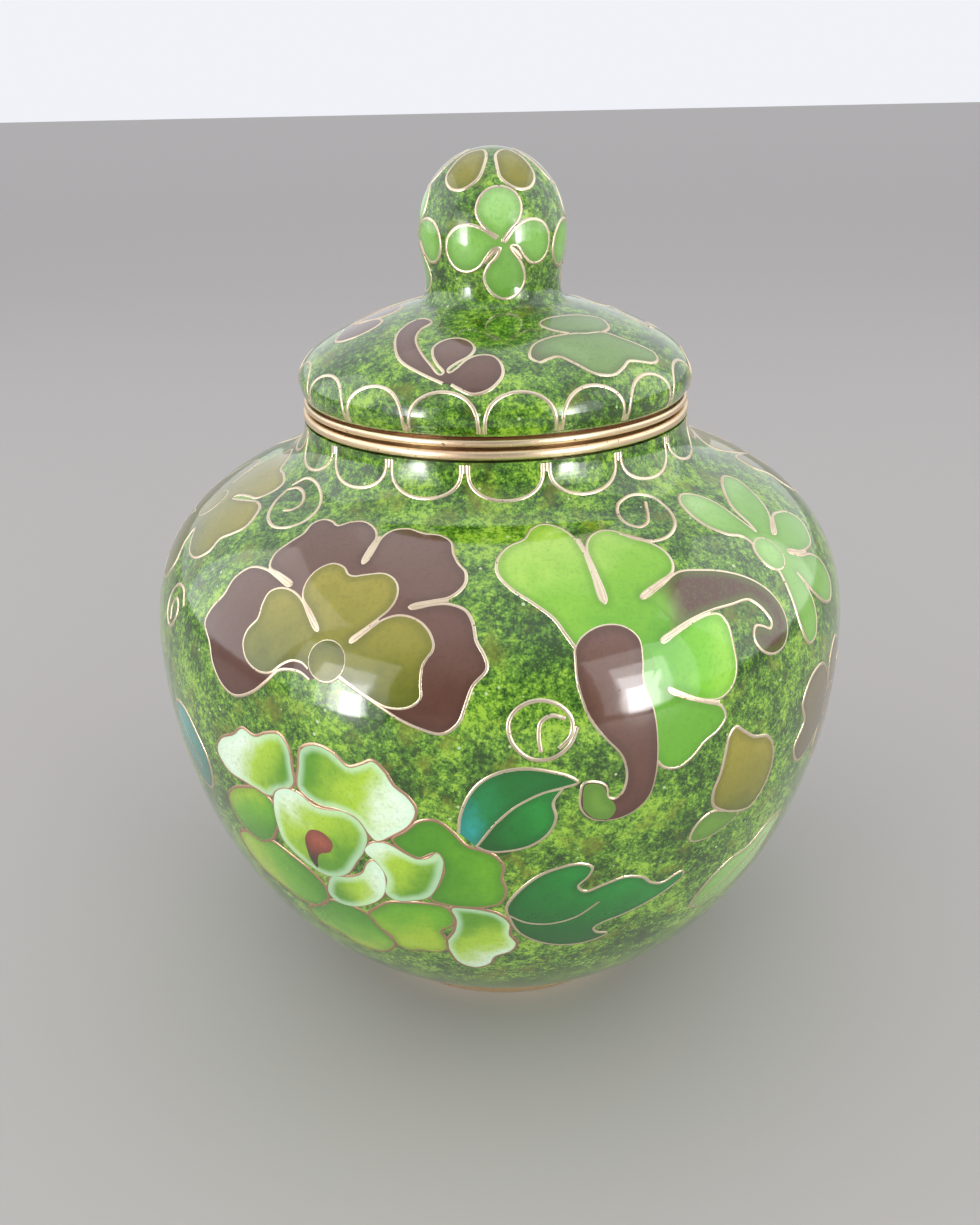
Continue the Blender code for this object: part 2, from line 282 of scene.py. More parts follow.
def measured(run):
    # a run with its arc lengths and outward normals, so that a motif can be laid on it
    arcs = [0.0]
    for (r0, z0), (r1, z1) in zip(run, run[1:]):
        arcs.append(arcs[-1] + hypot(r1 - r0, z1 - z0))
    return {"run": run, "arcs": arcs, "normals": normalsOf(run), "length": arcs[-1]}


def atArc(surface, arc):
    arc = min(max(arc, 0.0), surface["length"] - 1e-6)
    i = bisect_right(surface["arcs"], arc) - 1
    t = (arc - surface["arcs"][i]) / (surface["arcs"][i + 1] - surface["arcs"][i])
    (r0, z0), (r1, z1) = surface["run"][i:i + 2]
    (n0, m0), (n1, m1) = surface["normals"][i:i + 2]
    return r0 + (r1 - r0) * t, z0 + (z1 - z0) * t, n0 + (n1 - n0) * t, m0 + (m1 - m0) * t


def onSurface(surface, azimuth, arc, lift):
    r, z, outR, outZ = atArc(surface, arc)
    r, z = r + outR * lift, z + outZ * lift
    return Vector((r * sin(azimuth), -r * cos(azimuth), z)) * mm


jarSurface = measured(runOf(jar["stretches"], 4))
lidSurface = measured(runOf(lid["stretches"], 4))


def drawnCurve(name, runs):
    # a curve of straight steps; each run is its points in metres, whether it closes, and its weight
    curve = bpy.data.curves.new(name, "CURVE")
    curve.dimensions = "3D"
    for points, closed, weight in runs:
        spline = curve.splines.new("POLY")
        spline.points.add(len(points) - 1)
        for corner, point in zip(spline.points, points):
            corner.co = (*point, 1)
            corner.radius = weight
        spline.use_cyclic_u = closed
    return curve


def startPiece(name, data):
    piece = bpy.data.objects.new(name, data)
    bpy.context.scene.collection.objects.link(piece)
    bpy.context.view_layer.objects.active = piece
    piece.select_set(True)
    return piece


def closePiece(piece, smoothAngle, merge=0.0):
    # loose points out, faces outwards, soft edges smooth
    bpy.ops.object.mode_set(mode="EDIT")
    bpy.ops.mesh.select_all(action="SELECT")
    if merge:
        bpy.ops.mesh.remove_doubles(threshold=merge)
    bpy.ops.mesh.delete_loose(use_verts=True, use_edges=True, use_faces=False)
    bpy.ops.mesh.select_all(action="SELECT")
    bpy.ops.mesh.normals_make_consistent(inside=False)
    bpy.ops.object.mode_set(mode="OBJECT")
    bpy.ops.object.shade_smooth_by_angle(angle=radians(smoothAngle))
    piece.select_set(False)
    return piece


def spunPiece(name, outline, sides, closed=True):
    # a turned piece: its outline drawn as a curve, made a mesh and screwed once round the axis
    points = [(r * mm, 0, z * mm) for r, z in outline]
    piece = startPiece(name, drawnCurve(name, [(points, closed, 1.0)]))
    bpy.ops.object.convert(target="MESH")
    bpy.ops.object.modifier_add(type="SCREW")
    turn = piece.modifiers[-1]
    turn.steps = turn.render_steps = sides
    turn.use_merge_vertices = True
    turn.merge_threshold = 1e-6
    bpy.ops.object.modifier_apply(modifier=turn.name)
    return closePiece(piece, 35)


# Materials. Effects that several finishes share are node groups.
frit = {
    # noise scale, detail, roughness, and its pull from dark towards light
    "grains": [(1900.0, 3.0, 0.7, 1.2), (4600.0, 2.0, 0.55, 0.7),
               (620.0, 3.0, 0.55, 0.9), (130.0, 3.0, 0.55, 0.8)],
    "middleFrom": (1.55, 1.88), "lightFrom": (1.80, 2.10),
    "ochreShift": (0.31, 0.17, 0.23), "ochreScale": 300.0, "ochreFrom": (0.52, 0.72), "ochreShare": 0.7,
    "speckScale": 800.0, "speckless": 0.6,
}
fired = {"ripple": 190.0, "texture": 1400.0, "textureShare": 0.05, "pinScale": 520.0, "pinSize": 0.07,
         "pinless": 0.6, "pinDepth": 0.5, "pinRoughness": 0.4, "hazeScale": 260.0, "haze": 0.06}


def newGroup(name, inputs, outputs):
    tree = bpy.data.node_groups.new(name, "ShaderNodeTree")
    for label, kind, value in inputs:
        socket = tree.interface.new_socket(label, in_out="INPUT", socket_type=kind)
        if value is not None:
            socket.default_value = value
    for label, kind in outputs:
        tree.interface.new_socket(label, in_out="OUTPUT", socket_type=kind)
    return tree, tree.nodes.new("NodeGroupInput"), tree.nodes.new("NodeGroupOutput")


def makeFritGroup():
    # crushed glass fused together: soft dark, middle and light grains, clouds and bright specks
    tree, start, end = newGroup("fusedFrit", [
        ("Vector", "NodeSocketVector", None), ("Dark", "NodeSocketColor", None),
        ("Middle", "NodeSocketColor", None), ("Light", "NodeSocketColor", None),
        ("Ochre", "NodeSocketColor", None), ("Speck", "NodeSocketColor", None),
        ("Speck Size", "NodeSocketFloat", 0.16),
    ], [("Color", "NodeSocketColor")])
    given = start.outputs
    vector = given["Vector"]
    pull = None
    for scale, detail, roughness, share in frit["grains"]:
        grain = maths(tree, "MULTIPLY", noiseOf(tree, vector, scale, detail, roughness), share)
        pull = grain if pull is None else maths(tree, "ADD", pull, grain)
    colour = mixColours(tree, ramped(tree, pull, *frit["middleFrom"]), given["Dark"], given["Middle"])
    colour = mixColours(tree, ramped(tree, pull, *frit["lightFrom"]), colour, given["Light"])
    shifted = addNode(tree, "ShaderNodeVectorMath", {"operation": "ADD"})
    tree.links.new(vector, shifted.inputs[0])
    shifted.inputs[1].default_value = frit["ochreShift"]
    warm = ramped(tree, noiseOf(tree, shifted.outputs[0], frit["ochreScale"], 4.0, 0.6), *frit["ochreFrom"])
    colour = mixColours(tree, maths(tree, "MULTIPLY", warm, frit["ochreShare"]), colour, given["Ochre"])
    away, lots = dotsOf(tree, vector, frit["speckScale"])
    speck = maths(tree, "LESS_THAN", away, maths(tree, "MULTIPLY", given["Speck Size"], lots[1]))
    speck = maths(tree, "MULTIPLY", speck, maths(tree, "GREATER_THAN", lots[0], frit["speckless"]))
    tree.links.new(mixColours(tree, speck, colour, given["Speck"]), end.inputs["Color"])
    return tree


def makeFiredGroup():
    # a fired and polished surface: slow ripples, pinholes and a little uneven gloss
    tree, start, end = newGroup("firedSurface", [
        ("Vector", "NodeSocketVector", None), ("Gloss", "NodeSocketFloat", 0.09),
    ], [("Height", "NodeSocketFloat"), ("Roughness", "NodeSocketFloat")])
    vector = start.outputs["Vector"]
    away, lots = dotsOf(tree, vector, fired["pinScale"])
    pin = maths(tree, "LESS_THAN", away, fired["pinSize"])
    pin = maths(tree, "MULTIPLY", pin, maths(tree, "GREATER_THAN", lots[0], fired["pinless"]))
    texture = maths(tree, "MULTIPLY", noiseOf(tree, vector, fired["texture"], 2.0), fired["textureShare"])
    height = maths(tree, "ADD", noiseOf(tree, vector, fired["ripple"], 2.0), texture)
    height = maths(tree, "SUBTRACT", height, maths(tree, "MULTIPLY", pin, fired["pinDepth"]))
    tree.links.new(height, end.inputs["Height"])
    haze = ramped(tree, noiseOf(tree, vector, fired["hazeScale"]), 0.4, 0.8, fired["haze"])
    rough = maths(tree, "ADD", start.outputs["Gloss"], haze)
    rough = maths(tree, "ADD", rough, maths(tree, "MULTIPLY", pin, fired["pinRoughness"]))
    tree.links.new(rough, end.inputs["Roughness"])
    return tree


def makeGiltGroup():
    # gold plate over copper: pinkish where thin, brown in the pits, fine polishing marks
    tree, start, end = newGroup("thinGilt", [
        ("Vector", "NodeSocketVector", None), ("Gold", "NodeSocketColor", None),
        ("Thin", "NodeSocketColor", None), ("Pit", "NodeSocketColor", None),
        ("Wear", "NodeSocketFloat", 0.5), ("Gloss", "NodeSocketFloat", 0.3),
    ], [("Color", "NodeSocketColor"), ("Roughness", "NodeSocketFloat"),
        ("Height", "NodeSocketFloat")])
    given = start.outputs
    drift = noiseOf(tree, given["Vector"], 240.0, 3.0)
    fine = noiseOf(tree, given["Vector"], 2600.0, 2.0)
    worn = maths(tree, "ADD", drift, maths(tree, "MULTIPLY", given["Wear"], 0.4))
    colour = mixColours(tree, ramped(tree, worn, 0.55, 0.95), given["Gold"], given["Thin"])
    pits = ramped(tree, fine, 0.66, 0.74)
    tree.links.new(mixColours(tree, pits, colour, given["Pit"]), end.inputs["Color"])
    rough = maths(tree, "ADD", given["Gloss"], maths(tree, "MULTIPLY", drift, 0.18))
    tree.links.new(rough, end.inputs["Roughness"])
    tree.links.new(maths(tree, "SUBTRACT", fine, pits), end.inputs["Height"])
    return tree


fritGroup = makeFritGroup()
firedGroup = makeFiredGroup()
giltGroup = makeGiltGroup()


def placeGroup(tree, group, values, vector):
    node = addNode(tree, "ShaderNodeGroup", {"node_tree": group}, values)
    tree.links.new(vector, node.inputs["Vector"])
    return node.outputs


def newFinish(name):
    made = bpy.data.materials.new(name)
    made.use_nodes = True
    tree = made.node_tree
    coordinates = addNode(tree, "ShaderNodeTexCoord")
    return made, tree, tree.nodes["Principled BSDF"], coordinates.outputs["Object"]


def addBump(tree, shader, height, distance):
    bump = addNode(tree, "ShaderNodeBump", None, {"Distance": distance * mm})
    tree.links.new(height, bump.inputs["Height"])
    tree.links.new(bump.outputs["Normal"], shader.inputs["Normal"])


glass = {"Metallic": 0.0, "IOR": 1.55, "Coat Weight": 0.5, "Coat Roughness": 0.04, "Coat IOR": 1.6}
glassGloss = 0.08
glassRipple = 0.05


def makeGlassy(tree, shader, vector):
    surface = placeGroup(tree, firedGroup, {"Gloss": glassGloss}, vector)
    tree.links.new(surface["Roughness"], shader.inputs["Roughness"])
    addBump(tree, shader, surface["Height"], glassRipple)
    for key, value in glass.items():
        shader.inputs[key].default_value = value


groundColours = {
    "Dark": (0.018, 0.062, 0.004, 1), "Middle": (0.095, 0.245, 0.016, 1),
    "Light": (0.31, 0.53, 0.042, 1), "Ochre": (0.17, 0.20, 0.010, 1),
    "Speck": (0.46, 0.60, 0.30, 1), "Speck Size": 0.15,
}


def makeGround():
    made, tree, shader, vector = newFinish("mottledGreen")
    grains = placeGroup(tree, fritGroup, groundColours, vector)
    tree.links.new(grains["Color"], shader.inputs["Base Color"])
    makeGlassy(tree, shader, vector)
    return made


# Each enamel's colours where its fade starts, in the middle and where it ends, and for some a
# tint along the rim. "drift" breaks up the fade and "grain" darkens it in spots.
enamels = {
    "maroon": ((0.105, 0.042, 0.026), (0.135, 0.062, 0.040), (0.155, 0.078, 0.054)),
    "olive": ((0.13, 0.15, 0.010), (0.26, 0.24, 0.018), (0.33, 0.29, 0.03)),
    "lime": ((0.13, 0.40, 0.018), (0.24, 0.53, 0.03), (0.40, 0.66, 0.08)),
    "leafGreen": ((0.15, 0.48, 0.03), (0.22, 0.60, 0.04), (0.32, 0.68, 0.07)),
    "emerald": ((0.003, 0.11, 0.010), (0.004, 0.17, 0.016), (0.010, 0.25, 0.026)),
    "turquoise": ((0.004, 0.15, 0.016), (0.006, 0.21, 0.05), (0.02, 0.36, 0.33)),
    "tendril": ((0.20, 0.46, 0.04), (0.13, 0.14, 0.03), (0.09, 0.032, 0.018)),
    "peony": ((0.10, 0.30, 0.01), (0.40, 0.62, 0.035), (0.80, 0.95, 0.76), (0.60, 0.86, 0.60)),
    "peonyLime": ((0.07, 0.28, 0.006), (0.15, 0.42, 0.010), (0.38, 0.57, 0.02)),
    "peonyHeart": ((0.06, 0.03, 0.01), (0.30, 0.06, 0.03), (0.38, 0.09, 0.05)),
    "paleGreen": ((0.21, 0.46, 0.07), (0.32, 0.60, 0.15), (0.44, 0.70, 0.25)),
    "clover": ((0.15, 0.38, 0.04), (0.25, 0.54, 0.10), (0.38, 0.68, 0.22)),
    "sage": ((0.13, 0.15, 0.05), (0.15, 0.27, 0.07), (0.19, 0.33, 0.09)),
    "mossGreen": ((0.10, 0.25, 0.02), (0.14, 0.30, 0.03), (0.20, 0.38, 0.06)),
    "bronze": ((0.10, 0.085, 0.03), (0.15, 0.12, 0.05), (0.19, 0.16, 0.08)),
    "teal": ((0.01, 0.16, 0.10), (0.03, 0.26, 0.20), (0.06, 0.36, 0.32)),
    "counterEnamel": ((0.01, 0.16, 0.20), (0.02, 0.26, 0.31), (0.03, 0.36, 0.42)),
}
cell = {"driftScale": 380.0, "drift": 0.6, "grainScale": 2600.0, "grain": 0.3, "grainDark": 0.55,
        "rimFrom": (1.1, 0.2), "rimShare": 0.35, "rimDark": 0.5, "tintShare": 0.6}


def makeEnamel(name, low, middle, high, rimTint=None):
    # one cell colour along its fade, broken up by drifting grains and deeper along its rim
    made, tree, shader, vector = newFinish(name)
    tone = addNode(tree, "ShaderNodeAttribute", {"attribute_name": "tone"})
    rim = addNode(tree, "ShaderNodeAttribute", {"attribute_name": "rim"})
    drift = maths(tree, "SUBTRACT", noiseOf(tree, vector, cell["driftScale"], 4.0), 0.5)
    share = maths(tree, "ADD", tone.outputs["Fac"], maths(tree, "MULTIPLY", drift, cell["drift"]))
    colour = mixColours(tree, ramped(tree, share, 0.0, 0.6), (*low, 1), (*middle, 1))
    colour = mixColours(tree, ramped(tree, share, 0.5, 1.0), colour, (*high, 1))
    spots = ramped(tree, noiseOf(tree, vector, cell["grainScale"]), 0.45, 0.8, cell["grain"])
    colour = mixColours(tree, spots, colour, (*(cell["grainDark"] * c for c in low), 1))
    tint = rimTint or [cell["rimDark"] * c for c in low]
    pooled = ramped(tree, rim.outputs["Fac"], *cell["rimFrom"], cell["tintShare" if rimTint else "rimShare"])
    colour = mixColours(tree, pooled, colour, (*tint, 1))
    tree.links.new(colour, shader.inputs["Base Color"])
    makeGlassy(tree, shader, vector)
    return made


gilts = {
    # plate, thin plate, pits, wear, gloss, depth of its marks
    "wireGilt": ((0.86, 0.75, 0.55), (0.74, 0.58, 0.42), (0.16, 0.10, 0.06), 0.45, 0.24, 0.03),
    # the peony's wires: the wire gilt darkened to copper-brown as painted shade, for the shadow lying over
    # the peony
    "shadedWire": ((0.66, 0.44, 0.30), (0.56, 0.34, 0.23), (0.16, 0.08, 0.05), 0.5, 0.3, 0.03),
    "ringGilt": ((0.92, 0.75, 0.49), (0.90, 0.66, 0.45), (0.30, 0.18, 0.10), 0.55, 0.22, 0.02),
    "bareCopper": ((0.62, 0.30, 0.18), (0.45, 0.20, 0.12), (0.10, 0.05, 0.03), 0.5, 0.4, 0.03),
}


def makeGilt(name, gold, thin, pit, wear, gloss, depth):
    made, tree, shader, vector = newFinish(name)
    plate = {"Gold": (*gold, 1), "Thin": (*thin, 1), "Pit": (*pit, 1), "Wear": wear, "Gloss": gloss}
    surface = placeGroup(tree, giltGroup, plate, vector)
    tree.links.new(surface["Color"], shader.inputs["Base Color"])
    tree.links.new(surface["Roughness"], shader.inputs["Roughness"])
    addBump(tree, shader, surface["Height"], depth)
    shader.inputs["Metallic"].default_value = 1.0
    return made


finishes = {name: makeEnamel(name, *colours) for name, colours in enamels.items()}
finishes.update({name: makeGilt(name, *look) for name, look in gilts.items()})
finishes["mottledGreen"] = makeGround()
print("finishes are mixed")


# The turned pieces, each standing for its plainer CAD node.
def dress(piece, finish, body, nodes=()):
    piece.data.materials.clear()
    piece.data.materials.append(finishes[finish])
    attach(piece, body)
    if nodes:
        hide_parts(*nodes)


def buildJar():
    outer = runOf(jar["stretches"])
    depths = (jar[key] for key in ("enamel", "liningFrom", "liningTo"))
    enamelBack, wallOut, wallIn = (insetRun(outer, depth) for depth in depths)
    skin = spunPiece("jarSkin", outer[::-1] + enamelBack, jar["sides"])
    dress(skin, "mottledGreen", "jar", ["jar_enamel"])
    top, under, tuck = jar["floorTop"], jar["floorUnder"], jar["floorTuck"]
    outline = [(0, top), (wallIn[0][0] - tuck, top), *wallIn,
               *wallOut[::-1], (wallOut[0][0] - tuck, under), (0, under)]
    inside = spunPiece("jarInside", outline, liningSides, closed=False)
    dress(inside, "counterEnamel", "jar", ["jar_lining"])
    base = spunPiece("underside", jar["underside"], liningSides, closed=False)
    dress(base, "counterEnamel", "jar", ["base_enamel"])


def buildLid():
    outer = runOf(lid["stretches"])
    outline = outer[::-1] + insetRun(outer, lid["enamel"])
    skin = spunPiece("lidSkin", outline, lid["sides"], closed=False)
    dress(skin, "mottledGreen", "lid", ["lid_enamel"])
    dome = runOf(lid["stretches"][:lid["domeStretches"]])
    domeOut = insetRun(dome, lid["liningFrom"]) + [lid["ventOut"]]
    domeIn = insetRun(dome, lid["liningTo"]) + [lid["ventIn"]]
    inside = spunPiece("lidInside", domeOut[::-1] + domeIn, liningSides)
    dress(inside, "counterEnamel", "lid", ["lid_lining"])


def buildRings():
    for name, ring in rings.items():
        piece = spunPiece(name, roundedOutline(ring["outline"], ring["round"]), ringSides)
        dress(piece, "ringGilt", ring["body"], [ring["node"]])


def dressShells():
    # the hidden copper keeps its CAD shape and gets its finish
    for node in ("jar_shell_lower", "jar_shell_upper", "lid_shell", "knob_shell"):
        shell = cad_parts[node]
        shell.data.materials.clear()
        shell.data.materials.append(finishes["bareCopper"])


buildJar()
buildLid()
buildRings()
dressShells()
print("skins and rings are turned")


# Motifs. A stroke is a run of points in millimetres about the motif's middle: u to the right,
# v up the wall. A point given twice is a sharp corner. "fill" is the enamel inside the stroke,
# "fade" the two points its colour runs between, "level" what lies on what.
def circlePath(u, v, radius, points=14):
    return [(u + radius * cos(2 * pi * k / points), v + radius * sin(2 * pi * k / points))
            for k in range(points)]


pansy = {"at": (-25, 66), "strokes": [
    {"fill": "maroon", "fade": ((0, -9), (0, 12)), "path": [
        (-1.2, -6.1), (-2.3, -5.6), (-3.6, -5.6), (-5.0, -6.0), (-6.4, -7.4), (-8.4, -9.1), (-11.0, -10.2),
        (-13.0, -9.7), (-14.8, -8.0), (-15.7, -6.2), (-17.2, -4.6), (-16.6, -3.0), (-15.1, -1.0),
        (-14.5, 0.9), (-12.7, 2.7), (-10.3, 3.1), (-8.4, 2.7), (-6.5, 2.2), (-6.2, 2.45), (-6.4, 2.7),
        (-8.4, 3.2), (-10.1, 3.5), (-10.4, 5.0), (-9.3, 7.0), (-8.4, 8.5), (-8.3, 9.9), (-7.3, 11.0),
        (-6.1, 11.1), (-5.0, 10.7), (-3.9, 11.6), (-2.4, 12.1), (-0.8, 11.4), (0.1, 10.1), (0.1, 8.4),
        (0.2, 6.8), (0.45, 6.45), (0.7, 6.8), (0.75, 8.4), (0.7, 10.3), (1.3, 11.5), (2.7, 12.0),
        (4.6, 11.5), (6.3, 11.4), (7.8, 10.5), (8.7, 8.9), (9.7, 7.6), (10.9, 6.4), (11.3, 4.9),
        (10.5, 3.6), (9.0, 3.1), (7.3, 2.55), (7.0, 2.25), (7.4, 2.1), (9.0, 2.6), (10.6, 2.8),
        (12.4, 2.2), (13.5, 0.9), (14.3, -0.8), (15.4, -2.2), (15.9, -3.4), (14.9, -4.9), (14.5, -6.6),
        (14.0, -8.4), (12.6, -9.5), (10.6, -9.2), (8.4, -8.4), (6.8, -7.6), (4.8, -6.6), (1.8, -5.2)]},
    {"fill": "olive", "level": 2, "fade": ((0, -7), (0, 5)), "path": [
        (-1.5, -5.1), (-2.3, -4.65), (-3.6, -4.7), (-4.9, -5.5), (-5.9, -6.4), (-7.6, -6.7), (-9.4, -6.0),
        (-10.2, -4.6), (-9.9, -3.2), (-8.9, -1.8), (-8.9, -0.4), (-8.6, 1.0), (-7.3, 1.8), (-5.7, 1.8),
        (-4.2, 1.1), (-2.9, -0.2), (-1.6, -1.4), (-1.25, -1.35), (-1.4, -1.0), (-2.7, 0.3), (-4.3, 1.6),
        (-4.6, 3.2), (-4.0, 4.8), (-2.7, 5.8), (-1.3, 5.6), (-0.5, 4.9), (0.2, 4.8), (1.4, 5.2),
        (3.2, 5.6), (4.7, 4.8), (5.4, 3.3), (5.2, 1.9), (4.2, 0.5), (3.2, -0.6), (2.3, -1.6),
        (2.35, -1.9), (2.7, -1.8), (3.8, -0.6), (5.0, 0.7), (6.4, 1.3), (8.2, 1.0), (9.8, -0.2),
        (10.5, -1.6), (9.9, -3.2), (10.0, -4.9), (10.2, -6.3), (9.2, -7.2), (7.2, -7.4), (4.8, -6.5),
        (1.9, -5.1)]},
    {"fill": "olive", "level": 3, "closed": True, "fade": ((0, -1), (0, -14)),
     "path": circlePath(0.35, -4.0, 1.95)},
    {"weight": 1.5, "path": [(-6.4, 2.45), (-8.4, 2.95), (-10.0, 3.3)]},
    {"weight": 1.5, "path": [(0.45, 6.6), (0.43, 8.4), (0.36, 10.3)]},
    {"weight": 1.5, "path": [(7.2, 2.3), (9.0, 2.85), (10.5, 3.2)]},
    {"weight": 1.35, "path": [(-1.4, -1.2), (-2.8, 0.05), (-4.2, 1.3)]},
    {"weight": 1.35, "path": [(2.4, -1.75), (3.5, -0.6), (4.6, 0.6)]},
]}
orchid = {"at": (22, 63), "strokes": [
    {"fill": "lime", "fade": ((-1, 0), (-5, 14)), "path": [
        (-7.7, 1.2), (-8.2, 2.4), (-8.9, 4.2), (-10.2, 5.8), (-11.8, 7.6), (-12.4, 9.3), (-11.7, 11.2),
        (-10.0, 12.9), (-8.2, 13.8), (-7.0, 15.2), (-5.6, 15.9), (-4.3, 15.4), (-3.5, 13.9),
        (-3.3, 11.8), (-3.6, 8.6), (-3.9, 5.5), (-3.6, 5.1), (-3.3, 5.5), (-3.1, 8.6), (-2.8, 11.6),
        (-1.8, 13.2), (-0.4, 13.9), (1.1, 13.5), (2.2, 12.2), (4.0, 10.9), (5.0, 9.4), (5.1, 8.0),
        (4.5, 7.0), (2.6, 6.3), (0.4, 5.4), (0.1, 5.05), (0.5, 4.95), (2.7, 5.8), (5.2, 6.8),
        (8.0, 6.3), (11.0, 5.2), (14.0, 3.4), (16.2, 1.2), (17.3, -1.0), (17.3, -2.8), (16.2, -4.0),
        (14.4, -4.2), (12.7, -3.3), (11.9, -1.8), (12.4, -0.9), (13.4, -1.2), (14.6, -1.8), (15.0, -1.2),
        (14.6, -0.3), (13.6, 1.0), (12.4, 1.9), (10.0, 2.1), (7.0, 2.2), (4.0, 1.8), (2.1, 1.2),
        (0.9, 0.75), (0.7, 0.5), (1.0, 0.35), (2.6, 0.9), (4.6, 1.5), (6.6, 1.8), (8.0, 1.5),
        (8.7, 0.4), (8.8, -1.6), (8.8, -4.0), (8.1, -5.5), (6.6, -6.3), (5.0, -6.1), (2.7, -5.1),
        (0.9, -4.0), (0.6, -3.9), (0.7, -4.3), (2.6, -5.4), (4.9, -6.4), (6.5, -7.2), (7.1, -8.5),
        (6.2, -9.6), (4.5, -10.4), (3.2, -11.6), (1.6, -12.4), (0.0, -12.0), (-0.9, -11.0)]},
    {"fill": "leafGreen", "level": 2, "wire": False, "fade": ((1, -1), (8, -2)), "path": [
        (-1.2, 0.6), (0.9, 0.6), (4.6, 1.8), (7.9, 1.6), (8.8, -1.6), (8.6, -4.9), (6.6, -6.3),
        (4.9, -6.1), (0.8, -4.0), (-1.6, -3.6)]},
    {"fill": "tendril", "level": 2, "wire": False, "fade": ((1.5, 4), (5, 4)), "path": [
        (0.5, 5.1), (2.7, 6.0), (5.2, 6.8), (8.0, 6.3), (11.0, 5.2), (14.0, 3.4), (16.2, 1.2),
        (17.3, -1.0), (17.3, -2.8), (16.2, -4.0), (14.4, -4.2), (12.7, -3.3), (11.9, -1.8),
        (12.4, -0.9), (13.4, -1.2), (14.6, -1.8), (15.0, -1.2), (14.6, -0.3), (13.6, 1.0),
        (12.4, 1.9), (10.0, 2.1), (7.0, 2.1), (4.0, 1.8), (2.1, 1.4)]},
    {"fill": "maroon", "level": 3, "closed": True, "fade": ((-5, -16), (-4, 2)), "path": [
        (-7.6, 1.2), (-6.4, 2.3), (-4.4, 2.9), (-2.6, 2.5), (-1.5, 1.2), (-1.6, -0.8), (-1.9, -2.9),
        (-1.2, -5.6), (-0.9, -9.0), (-1.0, -12.4), (-1.6, -14.8), (-3.0, -16.2), (-5.0, -16.8),
        (-7.2, -16.4), (-8.4, -15.0), (-8.5, -13.2), (-8.2, -12.2), (-6.9, -12.3), (-6.1, -12.9),
        (-5.9, -14.1), (-5.3, -14.5), (-4.4, -14.0), (-3.9, -12.2), (-4.4, -9.8), (-6.2, -7.4),
        (-7.5, -5.2), (-8.1, -2.2), (-7.9, 0.0)]},
    {"fill": "mossGreen", "level": 4, "wire": False, "path": [
        (-8.4, -13.2), (-8.1, -12.3), (-6.9, -12.4), (-6.2, -13.0), (-5.9, -14.1), (-5.4, -14.6),
        (-5.0, -15.6), (-5.6, -16.6), (-7.2, -16.3), (-8.3, -15.0)]},
    {"weight": 1.6, "path": [(-3.6, 5.3), (-3.35, 8.6), (-3.1, 11.7), (-3.1, 13.2)]},
    {"weight": 1.5, "path": [(0.3, 5.05), (2.65, 6.05), (4.7, 6.85)]},
    {"weight": 1.6, "path": [(0.85, 0.55), (2.5, 1.05), (4.4, 1.65), (7.0, 2.0)]},
    {"weight": 1.7, "path": [(0.75, -4.1), (2.65, -5.25), (4.9, -6.25), (6.3, -6.8)]},
    {"weight": 1.4, "path": [(-8.15, -2.2), (-7.5, -5.2), (-6.4, -7.2)]},
]}
